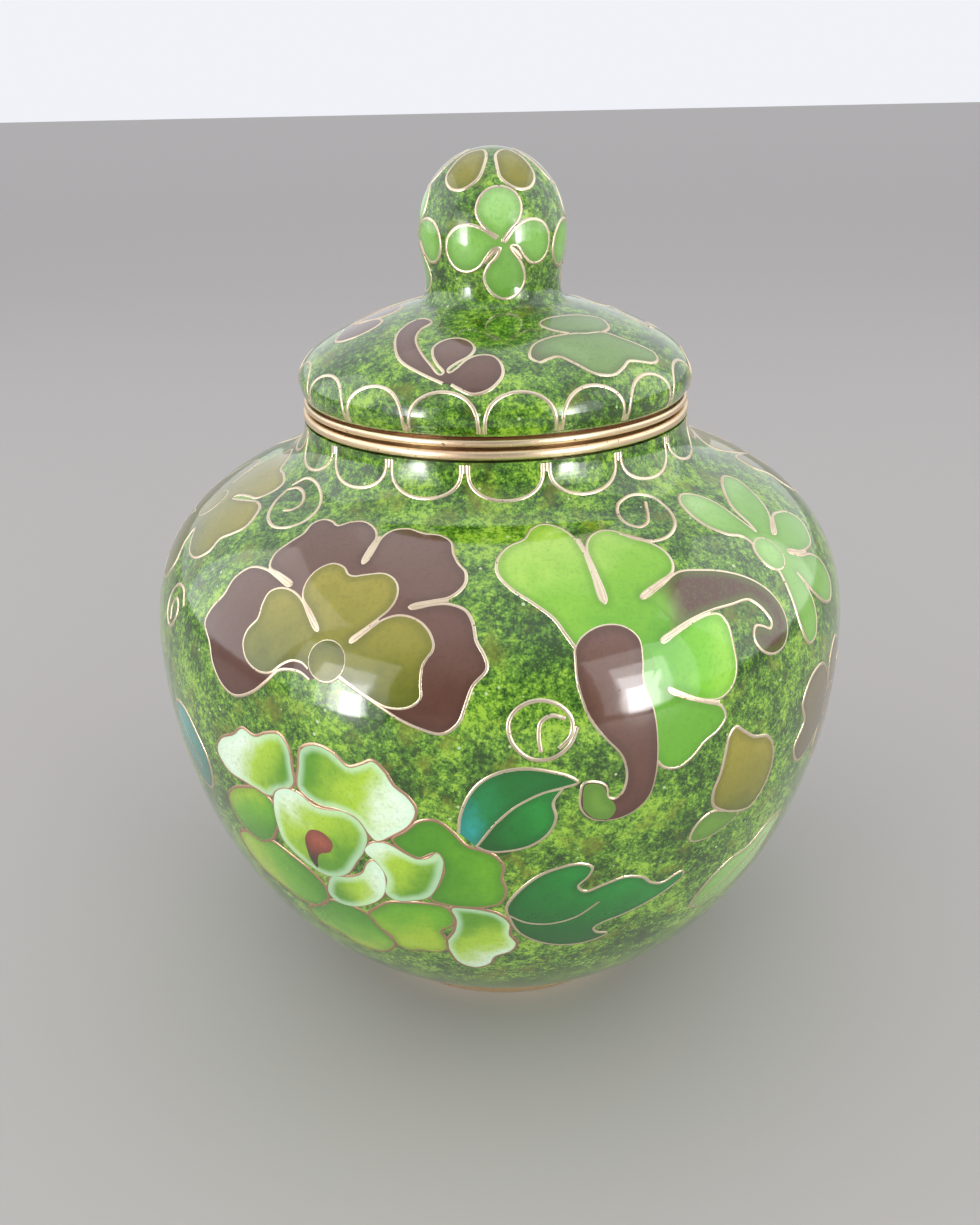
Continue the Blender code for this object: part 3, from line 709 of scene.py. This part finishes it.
# its wires take the darker, coppery gilt, which is painted shade for the shadow over the peony
peony = {"at": (-22, 39), "wire": "shadedWire", "strokes": [
    {"fill": "peony", "closed": True, "fade": ((-7, 8.5), (-13, 11.5)), "path": [
        (-9.0, 6.4), (-12.5, 6.6), (-16.0, 7.0), (-17.4, 8.8), (-16.2, 10.8), (-13.8, 12.2),
        (-12.2, 13.5), (-10.4, 13.2), (-8.6, 14.1), (-6.8, 14.5), (-5.8, 13.2), (-5.6, 11.0),
        (-5.6, 9.2), (-6.6, 8.1), (-8.2, 7.4)]},
    {"fill": "peony", "closed": True, "fade": ((-4.5, 11.5), (6.5, 8)), "path": [
        (-5.1, 8.8), (-4.8, 11.4), (-4.3, 13.6), (-2.6, 14.5), (-0.6, 14.1), (1.0, 12.9), (2.4, 13.4),
        (3.6, 14.0), (4.8, 13.0), (5.6, 11.6), (7.0, 10.4), (7.7, 9.0), (7.0, 7.2), (5.2, 5.6),
        (3.2, 4.4), (2.3, 5.4), (1.2, 7.0), (-0.8, 7.5), (-2.6, 7.4)]},
    {"fill": "peonyLime", "closed": True, "fade": ((-12, 0), (-15, 5)), "path": [
        (-9.2, 5.6), (-11.2, 6.5), (-13.4, 5.8), (-15.6, 4.6), (-17.2, 2.6), (-16.8, 0.4), (-15.2, -1.2),
        (-12.8, -1.6), (-10.8, -0.4), (-9.6, 1.4), (-8.8, 3.2)]},
    {"fill": "peonyLime", "closed": True, "fade": ((-6, -3), (-14, -6)), "path": [
        (-10.8, -0.6), (-12.8, -1.6), (-15.4, -1.6), (-17.4, -3.2), (-17.0, -5.6), (-14.8, -7.8),
        (-12.0, -8.8), (-9.4, -9.9), (-6.6, -9.4), (-4.8, -7.6), (-4.4, -5.0), (-6.0, -2.8), (-8.4, -1.4)]},
    {"fill": "peonyLime", "closed": True, "fade": ((-2, -8), (-2, -16)), "path": [
        (-4.4, -7.2), (-6.6, -9.4), (-8.6, -11.4), (-8.0, -13.8), (-5.4, -14.6), (-3.6, -16.2),
        (-0.8, -16.4), (1.2, -14.8), (2.2, -12.6), (1.2, -10.2), (0.4, -8.0), (-1.6, -7.0)]},
    {"fill": "peonyLime", "closed": True, "fade": ((8, 3), (26, 6)), "path": [
        (5.0, 4.9), (6.4, 6.2), (8.0, 7.7), (9.6, 7.9), (11.0, 6.8), (12.4, 5.0), (13.7, 4.5),
        (15.0, 3.8), (15.8, 2.2), (15.5, 0.6), (15.8, -1.0), (15.2, -2.8), (13.8, -3.6), (11.6, -3.8),
        (9.6, -3.6), (8.0, -2.9), (9.2, -0.4), (9.9, 2.0), (9.2, 3.8), (7.4, 3.0)]},
    {"fill": "peonyLime", "level": 2, "closed": True, "fade": ((3, 0), (5, -12)), "path": [
        (3.2, -4.6), (5.0, -4.1), (7.0, -3.8), (9.2, -4.0), (10.0, -5.4), (9.5, -7.2), (8.2, -8.4),
        (8.5, -10.2), (8.1, -12.2), (6.8, -13.2), (5.0, -13.2), (3.6, -13.8), (2.4, -12.8),
        (2.2, -11.0), (0.9, -9.6), (0.4, -7.6), (1.6, -6.0)]},
    {"fill": "peony", "closed": True, "fade": ((10, -7), (14.5, -14)), "path": [
        (9.9, -4.1), (12.4, -4.0), (14.6, -4.8), (15.7, -6.6), (15.4, -8.6), (15.9, -10.4),
        (15.0, -12.2), (13.2, -13.4), (12.2, -15.4), (10.4, -16.6), (8.9, -15.6), (8.4, -13.2),
        (8.4, -10.6), (9.6, -8.2), (10.1, -6.0)]},
    {"fill": "peony", "level": 3, "closed": True, "fade": ((8, -2), (1.5, 3.5)), "path": [
        (1.8, 2.8), (2.8, 4.1), (4.4, 4.3), (6.0, 3.4), (7.3, 2.8), (8.5, 3.1), (9.4, 3.9), (9.9, 3.0),
        (9.6, 1.2), (8.9, -0.8), (7.8, -2.6), (6.2, -3.4), (4.2, -3.9), (3.2, -3.0), (3.7, -0.6),
        (3.0, 1.4)]},
    {"fill": "peony", "level": 3, "closed": True, "fade": ((-2, -1), (-8.5, 7.5)), "path": [
        (-8.9, 5.4), (-8.3, 7.2), (-6.8, 8.2), (-5.0, 8.1), (-3.4, 7.1), (-2.0, 7.1), (0.0, 7.4),
        (1.6, 6.6), (2.3, 5.0), (1.7, 2.8), (0.6, 1.0), (-1.0, -1.4), (-3.6, -2.6), (-6.4, -1.4),
        (-8.6, 0.6), (-9.0, 3.0)]},
    {"fill": "peony", "level": 4, "closed": True, "fade": ((-3, -4), (3.4, -3.4)), "path": [
        (-3.8, -4.2), (-3.0, -2.6), (-0.6, -1.7), (1.0, -0.6), (1.8, 1.0), (2.6, 1.6), (3.4, 0.4),
        (3.4, -1.6), (2.6, -3.8), (0.8, -5.6), (-1.4, -6.8), (-3.4, -6.8), (-4.1, -5.6)]},
    {"fill": "peonyHeart", "level": 4, "closed": True, "fade": ((-5, -1), (-3, 3)), "path": [
        (-5.4, 0.5), (-5.3, 2.4), (-4.3, 3.8), (-2.9, 3.9), (-1.9, 2.8), (-2.4, 1.4), (-3.8, 0.6),
        (-4.3, -0.4), (-4.6, -1.8), (-5.2, -0.8)]},
]}
upperLeaf = {"at": (10, 41), "strokes": [
    {"fill": "turquoise", "fade": ((-5.5, 8.5), (-12, 6)), "path": [
        (-11.5, 4.6), (-11.3, 6.6), (-10.5, 8.9), (-9.2, 10.6), (-7.4, 11.6), (-5.0, 11.9), (-2.6, 11.4),
        (-0.9, 10.7), (-0.1, 10.0), (-1.2, 9.7), (-3.4, 9.2), (-6.0, 7.8), (-8.0, 5.8), (-9.8, 3.0)]},
    {"fill": "emerald", "fade": ((-9, 3), (-4, 8)), "path": [
        (-9.8, 3.0), (-9.8, 3.0), (-8.6, 2.4), (-7.0, 2.4), (-4.6, 3.0), (-2.9, 4.4), (-2.2, 6.2),
        (-2.5, 8.0), (-1.6, 9.5), (-1.6, 9.5), (-3.4, 9.2), (-6.0, 7.8), (-8.0, 5.8)]},
]}
lowerLeaf = {"at": (10, 41), "strokes": [
    {"fill": "emerald", "closed": True, "fade": ((0, -13), (6, -3)), "path": [
        (-6.7, -5.8), (-5.5, -3.2), (-3.6, -1.2), (-1.6, -0.3), (0.4, -0.1), (1.7, -0.8), (1.4, -2.0),
        (0.4, -3.3), (1.2, -4.3), (3.2, -3.7), (5.4, -3.2), (7.4, -3.9), (8.6, -5.2), (10.0, -5.8),
        (11.4, -5.2), (12.4, -5.0), (12.5, -5.9), (11.0, -7.1), (8.4, -8.5), (5.6, -9.6), (3.6, -10.2),
        (2.7, -11.0), (3.2, -12.1), (4.4, -12.7), (2.4, -13.7), (-0.4, -13.6), (-3.0, -12.4),
        (-5.2, -10.3), (-6.2, -8.0)]},
    {"path": [(-6.5, -7.1), (-4.6, -8.5), (-2.2, -9.0), (0.4, -8.4), (2.9, -6.3)]},
]}
starFlower = {"at": (55, 66), "strokes": [
    {"fill": "paleGreen", "fade": ((-2, 5), (-4, 12)), "path": [
        (-2.9, 3.6), (-3.2, 5.0), (-4.7, 6.0), (-5.8, 8.0), (-5.4, 10.4), (-4.3, 12.2), (-3.0, 12.9),
        (-1.6, 12.2), (-0.8, 10.0), (-0.9, 7.0), (-0.7, 4.6), (-0.3, 5.6), (0.3, 8.0), (2.2, 10.0),
        (5.0, 11.4), (7.0, 11.4), (7.6, 10.0), (6.6, 7.6), (4.8, 5.3), (1.9, 3.7), (1.4, 3.3),
        (2.0, 3.1), (4.9, 4.6), (6.8, 4.3), (9.0, 3.2), (10.0, 1.4), (8.4, -0.4), (5.6, -0.5),
        (3.4, 0.1), (1.7, 1.0), (1.3, 0.8), (1.6, 0.5), (3.4, -0.5), (5.8, -1.3), (7.8, -3.0),
        (8.0, -5.4), (6.2, -6.8), (3.6, -6.0), (1.6, -4.0), (0.3, -1.4), (0.8, -3.2), (0.8, -6.0),
        (-0.4, -8.4), (-2.2, -8.6), (-3.2, -6.4), (-3.0, -3.0), (-2.5, 0.0)]},
    {"fill": "paleGreen", "level": 2, "closed": True, "path": circlePath(-1.8, 1.9, 2.0)},
    {"weight": 1.4, "path": [(1.6, 3.4), (2.8, 3.7), (4.2, 4.6)]},
    {"weight": 1.4, "path": [(1.5, 0.75), (3.4, -0.2), (5.0, -0.6)]},
]}
oliveFlower = {"at": (-75, 70), "strokes": [
    {"fill": "olive", "closed": True, "fade": ((-2, -2), (4, 8)), "path": [
        (1.2, 3.1), (4.4, 4.4), (6.0, 5.1), (7.8, 4.9), (9.4, 3.6), (10.4, 2.1), (9.9, 0.7), (9.1, -0.5),
        (9.6, -2.2), (8.4, -3.8), (6.0, -4.2), (3.6, -3.4), (1.4, -2.4), (1.9, -4.2), (3.4, -6.4),
        (2.0, -9.0), (-1.2, -9.6), (-3.2, -8.2), (-5.4, -8.8), (-7.4, -6.8), (-6.8, -4.2), (-5.0, -2.6),
        (-7.6, -3.2), (-10.4, -2.6), (-11.6, -0.2), (-10.6, 1.8), (-11.0, 4.2), (-8.6, 6.0),
        (-5.6, 4.4), (-4.2, 3.2), (-6.4, 6.0), (-7.2, 8.6), (-5.4, 10.8), (-3.0, 10.8), (-0.6, 9.4),
        (2.0, 9.4), (4.2, 8.8), (5.3, 7.2), (5.1, 5.5), (3.2, 4.8), (1.2, 3.7)]},
    {"fill": "olive", "level": 2, "closed": True, "path": circlePath(-1.8, 0.5, 2.1)},
]}
budPetal = {"at": (37, 46), "strokes": [
    {"fill": "olive", "closed": True, "fade": ((0, -5), (1, 5)), "path": [
        (-4.0, 2.0), (-3.6, 4.2), (-3.2, 6.2), (-2.4, 6.9), (-1.2, 6.0), (0.4, 4.8), (2.6, 4.0),
        (3.8, 2.4), (4.2, 0.0), (3.4, -2.6), (1.6, -4.4), (-0.8, -4.0), (-2.8, -3.0), (-4.4, -1.6),
        (-4.6, 0.2)]},
    {"fill": "mossGreen", "level": 2, "closed": True, "path": [
        (-2.6, -3.2), (-4.6, -2.6), (-6.2, -3.6), (-6.6, -5.4), (-4.8, -6.0), (-2.4, -5.6), (-0.4, -4.4)]},
]}
bronzeFlower = {"at": (62, 47), "strokes": [
    {"fill": "bronze", "closed": True, "fade": ((0, 0), (-6, 6)), "path": [
        (-0.8, 1.6), (-1.6, 4.4), (-3.8, 6.6), (-7.0, 6.4), (-8.8, 4.0), (-7.8, 1.4), (-9.4, -1.2),
        (-7.6, -3.8), (-4.8, -3.6), (-2.0, -1.8), (-2.4, -4.6), (-0.4, -7.2), (2.6, -7.0), (4.2, -4.4),
        (3.0, -1.8), (6.0, -2.8), (8.6, -0.8), (8.2, 2.4), (5.4, 3.6), (2.8, 2.6), (3.6, 5.6),
        (1.6, 7.6), (-0.6, 6.2)]},
    {"fill": "bronze", "level": 2, "closed": True, "path": circlePath(0.3, 0.4, 1.9)},
]}
paleLeaf = {"at": (42, 31), "strokes": [
    {"fill": "paleGreen", "closed": True, "fade": ((-5, -2), (5, 3)), "path": [
        (-6.0, -3.0), (-5.2, 0.4), (-2.6, 2.8), (0.6, 3.2), (3.4, 5.0), (6.4, 5.0), (5.6, 2.4),
        (4.6, -0.4), (2.4, -3.0), (-0.8, -4.4), (-4.0, -4.4)]},
    {"path": [(-5.6, -3.6), (-2.0, -1.4), (1.6, 1.0), (4.2, 3.2)]},
]}
neckSpiral = {"at": (-25, 66), "strokes": [
    {"path": [(-16.6, 12.6), (-16.5, 10.4), (-15.4, 8.6), (-13.4, 7.9), (-11.2, 8.5), (-9.6, 10.0),
              (-9.2, 12.0), (-10.0, 13.8), (-12.0, 15.0), (-14.6, 14.9), (-16.4, 13.4)]},
    {"path": [(-16.6, 12.6), (-14.9, 13.5), (-13.0, 13.2), (-12.1, 12.0), (-12.6, 10.8), (-13.8, 10.2)]},
]}
sideSpiral = {"at": (22, 63), "strokes": [
    {"path": [(6.7, 16.6), (6.0, 15.0), (5.2, 13.8), (4.2, 13.4), (3.2, 13.9), (2.7, 15.4), (3.2, 17.0),
              (4.9, 17.8), (6.7, 17.6), (8.2, 16.6), (8.8, 14.8), (8.4, 12.8), (7.0, 11.5), (5.2, 11.1),
              (3.5, 11.5), (2.0, 12.6)]},
    {"weight": 1.5, "path": [(3.5, 11.5), (2.4, 12.3), (1.4, 13.0)]},
]}
bellySpiral = {"at": (22, 63), "strokes": [
    {"path": [(-8.7, -6.2), (-9.6, -8.0), (-11.4, -9.2), (-13.4, -9.0), (-14.9, -7.4), (-15.1, -5.4),
              (-14.0, -4.0), (-12.0, -3.4), (-10.2, -4.0), (-9.2, -5.4), (-9.4, -7.0), (-10.6, -8.2)]},
    {"path": [(-12.3, -8.4), (-12.4, -6.8), (-12.1, -5.5), (-11.0, -4.9), (-9.8, -5.3)]},
]}
lidBlossom = {"at": (-20, 9), "strokes": [
    {"fill": "maroon", "fade": ((4, -4), (4, 2)), "path": [
        (2.9, -3.3), (4.0, -3.9), (5.4, -4.4), (6.9, -3.8), (7.6, -2.2), (7.0, -0.4), (5.7, 0.9),
        (4.3, 1.0), (3.4, 0.3), (2.7, -1.2), (2.2, -1.8), (1.9, -1.3), (2.5, -0.2), (3.4, 0.9),
        (3.5, 2.2), (2.5, 3.5), (1.0, 4.0), (-0.2, 3.4), (-0.8, 2.2), (-0.4, 0.8), (0.6, -0.6),
        (1.6, -1.7), (1.5, -2.1), (1.1, -2.0), (0.0, -0.9), (-2.0, 1.2), (-3.5, 3.4), (-3.7, 5.2),
        (-3.0, 6.9), (-4.2, 7.4), (-5.4, 6.8), (-6.2, 5.2), (-6.3, 3.6), (-5.4, 1.6), (-3.8, -0.4),
        (-1.0, -1.9), (2.0, -3.2)]},
]}
lidLeaf = {"at": (38, 9), "strokes": [
    {"fill": "sage", "closed": True, "fade": ((-8, 1), (-3, 1)), "path": [
        (-8.0, 0.2), (-7.4, 1.4), (-6.0, 2.7), (-3.6, 3.6), (-1.0, 3.7), (0.9, 3.3), (3.0, 2.9),
        (4.6, 1.2), (6.4, -0.8), (7.4, -2.2), (6.9, -3.1), (5.6, -3.2), (4.0, -2.6), (2.4, -2.1),
        (0.8, -2.8), (-1.0, -3.4), (-3.0, -2.8), (-4.2, -1.0), (-5.1, 0.2), (-6.4, 0.0), (-7.6, -0.4)]},
    {"fill": "sage", "fade": ((-8, 4), (4, 6)), "path": [
        (-1.2, 3.9), (-2.6, 5.0), (-3.0, 6.4), (-1.4, 7.4), (1.2, 7.4), (3.6, 6.6), (5.6, 5.0),
        (4.8, 3.4), (3.0, 3.0)]},
]}
knobClover = {"at": (5, 27), "strokes": [
    {"fill": "clover", "fade": ((0, -7), (0, 5)), "path": [
        (-0.1, -0.1), (-1.5, 0.9), (-2.3, 2.2), (-1.9, 3.8), (-0.8, 4.8), (0.5, 5.0), (1.8, 4.3),
        (2.4, 3.0), (2.1, 1.6), (1.1, 0.6), (0.3, -0.5), (0.6, -0.6), (1.3, 0.3), (2.2, 1.1), (3.6, 1.5),
        (5.2, 1.0), (6.0, -0.3), (5.8, -1.8), (4.8, -2.8), (3.6, -2.9), (2.6, -2.0), (1.9, -1.0),
        (1.1, -1.0), (1.3, -1.5), (2.1, -2.5), (2.7, -3.7), (2.7, -5.0), (1.8, -6.1), (0.4, -6.5),
        (-0.9, -5.8), (-1.6, -4.4), (-1.2, -3.1), (-0.3, -2.1), (0.1, -1.2), (-0.6, -1.2), (-1.4, -2.1),
        (-2.2, -3.2), (-3.6, -3.7), (-5.0, -3.2), (-5.9, -1.8), (-5.8, -0.4), (-4.6, 0.8), (-3.0, 1.1),
        (-1.4, 0.5), (-0.3, -0.3)]},
    {"weight": 1.3, "path": [(0.5, -0.5), (1.3, 0.4), (1.9, 1.0)]},
    {"weight": 1.3, "path": [(1.2, -1.2), (1.9, -1.8), (2.4, -2.4)]},
    {"weight": 1.3, "path": [(0.0, -1.2), (-0.9, -1.9), (-1.6, -2.7)]},
]}
crownPetal = {"at": (27, 34.6), "strokes": [
    {"fill": "olive", "closed": True, "path": [
        (0.3, 3.0), (-1.2, 2.0), (-2.0, 0.0), (-2.2, -1.6), (-1.0, -2.8), (0.6, -2.8), (1.8, -1.6),
        (1.8, 0.2), (1.2, 2.0)]}]}
tealLeaf = {"at": (-55, 45), "strokes": [
    {"fill": "teal", "closed": True, "fade": ((2, -4), (-3, 4)), "path": [
        (-3.6, 4.4), (-0.6, 4.6), (1.8, 2.8), (3.6, 0.2), (3.4, -2.6), (1.8, -4.6), (-0.8, -4.2),
        (-3.0, -2.4), (-4.4, 0.4), (-4.6, 2.8)]},
    {"path": [(-3.8, 3.4), (-1.4, 0.8), (1.2, -2.2)]},
]}
edgeSpiral = {"at": (-61, 60), "strokes": [
    {"path": [(-0.8, -1.4), (-1.2, 0.2), (-0.4, 1.2), (0.8, 0.6), (0.6, -1.0), (-0.8, -2.2), (-2.4, -1.4),
              (-2.8, 0.6), (-1.6, 2.4), (0.6, 2.6), (2.2, 1.2)]}]}
wire = {"radius": 0.30, "sunk": 0.21, "heavySunk": 1.3, "sides": 3, "step": 0.35}
inlay = {"levelLift": 0.018, "firstLift": 0.035, "root": -0.3, "edgeClear": 0.4,
         "jarGrid": 0.9, "lidGrid": 0.5, "knobGrid": 0.4}


def easedPath(path, closed, step):
    # the path's runs between its sharp corners, each eased
    if len(path) < 3:
        return list(path)
    runs = [[path[0]]]
    for point in path[1:]:
        if point == runs[-1][-1]:
            runs.append([])
        runs[-1].append(point)
    points = []
    for run in runs:
        for sample in easedRun(run, closed, step):
            if not points or hypot(sample[0] - points[-1][0], sample[1] - points[-1][1]) > 0.02:
                points.append(sample)
    return points


def easedRun(run, closed, step):
    # a centripetal Catmull-Rom curve through the run, sampled about every step
    if len(run) < 2:
        return list(run)
    knots = [Vector(point) for point in run]
    if closed:
        knots = [knots[-1], *knots, knots[0], knots[1]]
    else:
        knots = [knots[0] * 2 - knots[1], *knots, knots[-1] * 2 - knots[-2]]
    points = []
    for p0, p1, p2, p3 in zip(knots, knots[1:], knots[2:], knots[3:]):
        t0 = 0.0
        t1 = t0 + max((p1 - p0).length, 1e-4) ** 0.5
        t2 = t1 + max((p2 - p1).length, 1e-4) ** 0.5
        t3 = t2 + max((p3 - p2).length, 1e-4) ** 0.5
        parts = max(2, round((p2 - p1).length / step))
        for k in range(parts):
            t = t1 + (t2 - t1) * k / parts
            a1 = p0.lerp(p1, (t - t0) / (t1 - t0))
            a2 = p1.lerp(p2, (t - t1) / (t2 - t1))
            a3 = p2.lerp(p3, (t - t2) / (t3 - t2))
            b1 = a1.lerp(a2, (t - t0) / (t2 - t0))
            b2 = a2.lerp(a3, (t - t1) / (t3 - t1))
            points.append(tuple(b1.lerp(b2, (t - t1) / (t2 - t1))))
    if not closed:
        points.append(tuple(run[-1]))
    return points


def insideOf(point, outline):
    # whether the point is in the outline, and how far it is from its edge
    u, v = point
    inside = False
    nearest = 1e9
    for (u0, v0), (u1, v1) in zip(outline, outline[1:] + outline[:1]):
        if (v0 > v) != (v1 > v) and u < (u1 - u0) * (v - v0) / (v1 - v0) + u0:
            inside = not inside
        length = (u1 - u0) ** 2 + (v1 - v0) ** 2
        t = min(max(((u - u0) * (u1 - u0) + (v - v0) * (v1 - v0)) / (length + 1e-12), 0), 1)
        nearest = min(nearest, hypot(u0 + (u1 - u0) * t - u, v0 + (v1 - v0) * t - v))
    return inside, nearest


def cellMesh(outline, grid):
    # a flat triangulated cell: its outline, a grid of points inside it, and how far each is in
    us, vs = [p[0] for p in outline], [p[1] for p in outline]
    points = [Vector(p) for p in outline]
    v = min(vs) + grid / 2
    while v < max(vs):
        u = min(us) + grid / 2
        while u < max(us):
            inside, nearest = insideOf((u, v), outline)
            if inside and nearest > inlay["edgeClear"] * grid:
                points.append(Vector((u, v)))
            u += grid
        v += grid
    edges = [(k, (k + 1) % len(outline)) for k in range(len(outline))]
    flat, _, faces, _, _, _ = delaunay_2d_cdt(points, edges, [], 1, 1e-5)
    depth = [insideOf(p, outline)[1] for p in flat]
    return [tuple(p) for p in flat], [tuple(f) for f in faces], depth


def toneAt(point, fade):
    if not fade:
        return 0.5
    start, end = Vector(fade[0]), Vector(fade[1])
    along = end - start
    return min(max((Vector(point) - start).dot(along) / along.length_squared, 0.0), 1.0)


def inlayPiece(name, cells, place, grid):
    # closed thin slabs of enamel, their tops a hair above the ground coat
    corners, faces, tones, rims = [], [], [], []
    for outline, level, fade in cells:
        flat, triangles, depth = cellMesh(outline, grid)
        top = inlay["firstLift"] + level * inlay["levelLift"]
        first, count = len(corners), len(flat)
        corners += [place(u, v, top) for u, v in flat]
        corners += [place(u, v, inlay["root"]) for u, v in flat]
        tones += [toneAt(p, fade) for p in flat] * 2
        rims += depth * 2
        used = set()
        for a, b, c in triangles:
            faces.append((first + a, first + b, first + c))
            faces.append((first + count + c, first + count + b, first + count + a))
            used |= {(a, b), (b, c), (c, a)}
        for start, end in sorted(used):
            if (end, start) not in used:
                faces.append((first + end, first + start, first + count + start, first + count + end))
    mesh = bpy.data.meshes.new(name)
    mesh.from_pydata(corners, [], faces)
    for label, values in (("tone", tones), ("rim", rims)):
        mesh.attributes.new(label, "FLOAT", "POINT").data.foreach_set("value", values)
    return closePiece(startPiece(name, mesh), 50)


def wirePiece(name, strokes):
    # bent wires along runs of points, bevelled round, then made one mesh
    curve = drawnCurve(name, strokes)
    curve.bevel_depth = wire["radius"] * mm
    curve.bevel_resolution = wire["sides"]
    curve.use_fill_caps = True
    piece = startPiece(name, curve)
    bpy.ops.object.convert(target="MESH")
    return closePiece(piece, 60, merge=1e-8)


def patchOf(surface, azimuth, arc):
    # turns a motif's u and v, and a lift off the enamel, into a place on the wall
    def place(u, v, lift):
        radius = max(atArc(surface, arc + v)[0], 1.0)
        return onSurface(surface, radians(azimuth) + u / radius, arc + v, lift)
    return place


def layMotif(name, motif, surface, body, grid, turns, node=None):
    # the motif's cells and wires, once for each turn round the axis
    for label, turn in turns.items():
        azimuth, arc = motif["at"]
        place = patchOf(surface, azimuth + turn, arc)
        cells, strokes = {}, []
        for stroke in motif["strokes"]:
            closed = stroke.get("closed", False)
            flat = easedPath(stroke["path"], closed, wire["step"])
            if "fill" in stroke:
                shape = (flat, stroke.get("level", 1), stroke.get("fade"))
                cells.setdefault(stroke["fill"], []).append(shape)
            if stroke.get("wire", True):
                weight = stroke.get("weight", 1.0)
                sunk = wire["sunk"] * (1 + wire["heavySunk"] * (weight - 1))
                strokes.append(([place(u, v, -sunk) for u, v in flat], closed, weight))
        for fill, shapes in cells.items():
            dress(inlayPiece(f"{name}_{fill}_{label}", shapes, place, grid), fill, body)
        dress(wirePiece(f"{name}_wires_{label}", strokes), motif.get("wire", "wireGilt"), body,
              [f"{node}_{label}"] if node else [])


# What is laid on the jar, with the CAD wires that it stands for.
bothSides = {"front": 0, "back": 180}
jarMotifs = [
    ("pansy", pansy, "pansy_wire"), ("orchid", orchid, "orchid_wire"), ("peony", peony, "peony_wire"),
    ("upperLeaf", upperLeaf, "upper_leaf_wire"), ("lowerLeaf", lowerLeaf, "lower_leaf_wire"),
    ("starFlower", starFlower, "star_flower_wire"), ("oliveFlower", oliveFlower, "olive_flower_wire"),
    ("budPetal", budPetal, "bud_leaf_wire"), ("bronzeFlower", bronzeFlower, None),
    ("paleLeaf", paleLeaf, None), ("neckSpiral", neckSpiral, "neck_spiral_wire"),
    ("sideSpiral", sideSpiral, "side_spiral_wire"), ("bellySpiral", bellySpiral, None),
    ("tealLeaf", tealLeaf, None), ("edgeSpiral", edgeSpiral, None),
]
for title, motif, node in jarMotifs:
    layMotif(title, motif, jarSurface, "jar", inlay["jarGrid"], bothSides, node)
print("jar motifs are laid")


# And on the lid. The blossom and the leaf come again at its sides, and the clover all round its knob.
sideBlossom = {**lidBlossom, "at": (-92, 13)}
sideLeaf = {**lidLeaf, "at": (112, 9)}
crownTurns = {str(k): 60 * k - 57 for k in range(6)}
lidMotifs = [
    ("lidBlossom", lidBlossom, "lidGrid", bothSides, "lid_blossom_wire"),
    ("sideBlossom", sideBlossom, "lidGrid", {"left": 0}, None),
    ("sideLeaf", sideLeaf, "lidGrid", {"right": 0}, None),
    ("lidLeaf", lidLeaf, "lidGrid", bothSides, "lid_leaf_wire"),
    ("knobClover", knobClover, "knobGrid", bothSides, "knob_clover_wire"),
    ("sideClover", knobClover, "knobGrid", {"left": -90, "right": 90}, "knob_clover_wire"),
    ("crownPetal", crownPetal, "knobGrid", crownTurns, None),
]
for title, motif, grid, turns, node in lidMotifs:
    layMotif(title, motif, lidSurface, "lid", inlay[grid], turns, node)
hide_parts("knob_crown_wire")


# Rows of arches round a ring. "foot" is their place along the wall, "first" an azimuth in degrees.
scallops = {
    "jar": {"count": 17, "first": -50.6, "foot": 85.6, "depth": -3.6, "stem": 0.8},
    "lid": {"count": 18, "first": -43.6, "foot": 0.4, "depth": 4.4, "stem": 0.9},
}
arch = {"steps": 28, "gap": 0.045, "fullness": 0.9, "stemWeight": 1.5, "stemSunk": 0.3}


def layScallops(name, row, surface, body, node):
    # round arches, each sprung from short stems that it shares with its neighbours
    strokes = []
    width = 2 * pi / row["count"]
    way = 1 if row["depth"] > 0 else -1
    crown = abs(row["depth"]) - row["stem"]

    def at(azimuth, rise, sunk=wire["sunk"]):
        return onSurface(surface, azimuth, row["foot"] + way * rise, -sunk)

    for k in range(row["count"]):
        left = radians(row["first"]) + width * k
        points = [at(left + width * arch["gap"], 0)]
        for j in range(arch["steps"] + 1):
            turn = pi * j / arch["steps"]
            spread = 0.5 - (0.5 - arch["gap"]) * cos(turn)
            points.append(at(left + width * spread, row["stem"] + crown * sin(turn) ** arch["fullness"]))
        points.append(at(left + width * (1 - arch["gap"]), 0))
        strokes.append((points, False, 1.0))
        stem = [at(left, rise, arch["stemSunk"]) for rise in (0, row["stem"])]
        strokes.append((stem, False, arch["stemWeight"]))
    dress(wirePiece(name, strokes), "wireGilt", body, [node])


layScallops("jarScallops", scallops["jar"], jarSurface, "jar", "jar_scallop_wire")
layScallops("lidScallops", scallops["lid"], lidSurface, "lid", "lid_scallop_wire")
print("lid motifs and scallops are laid")
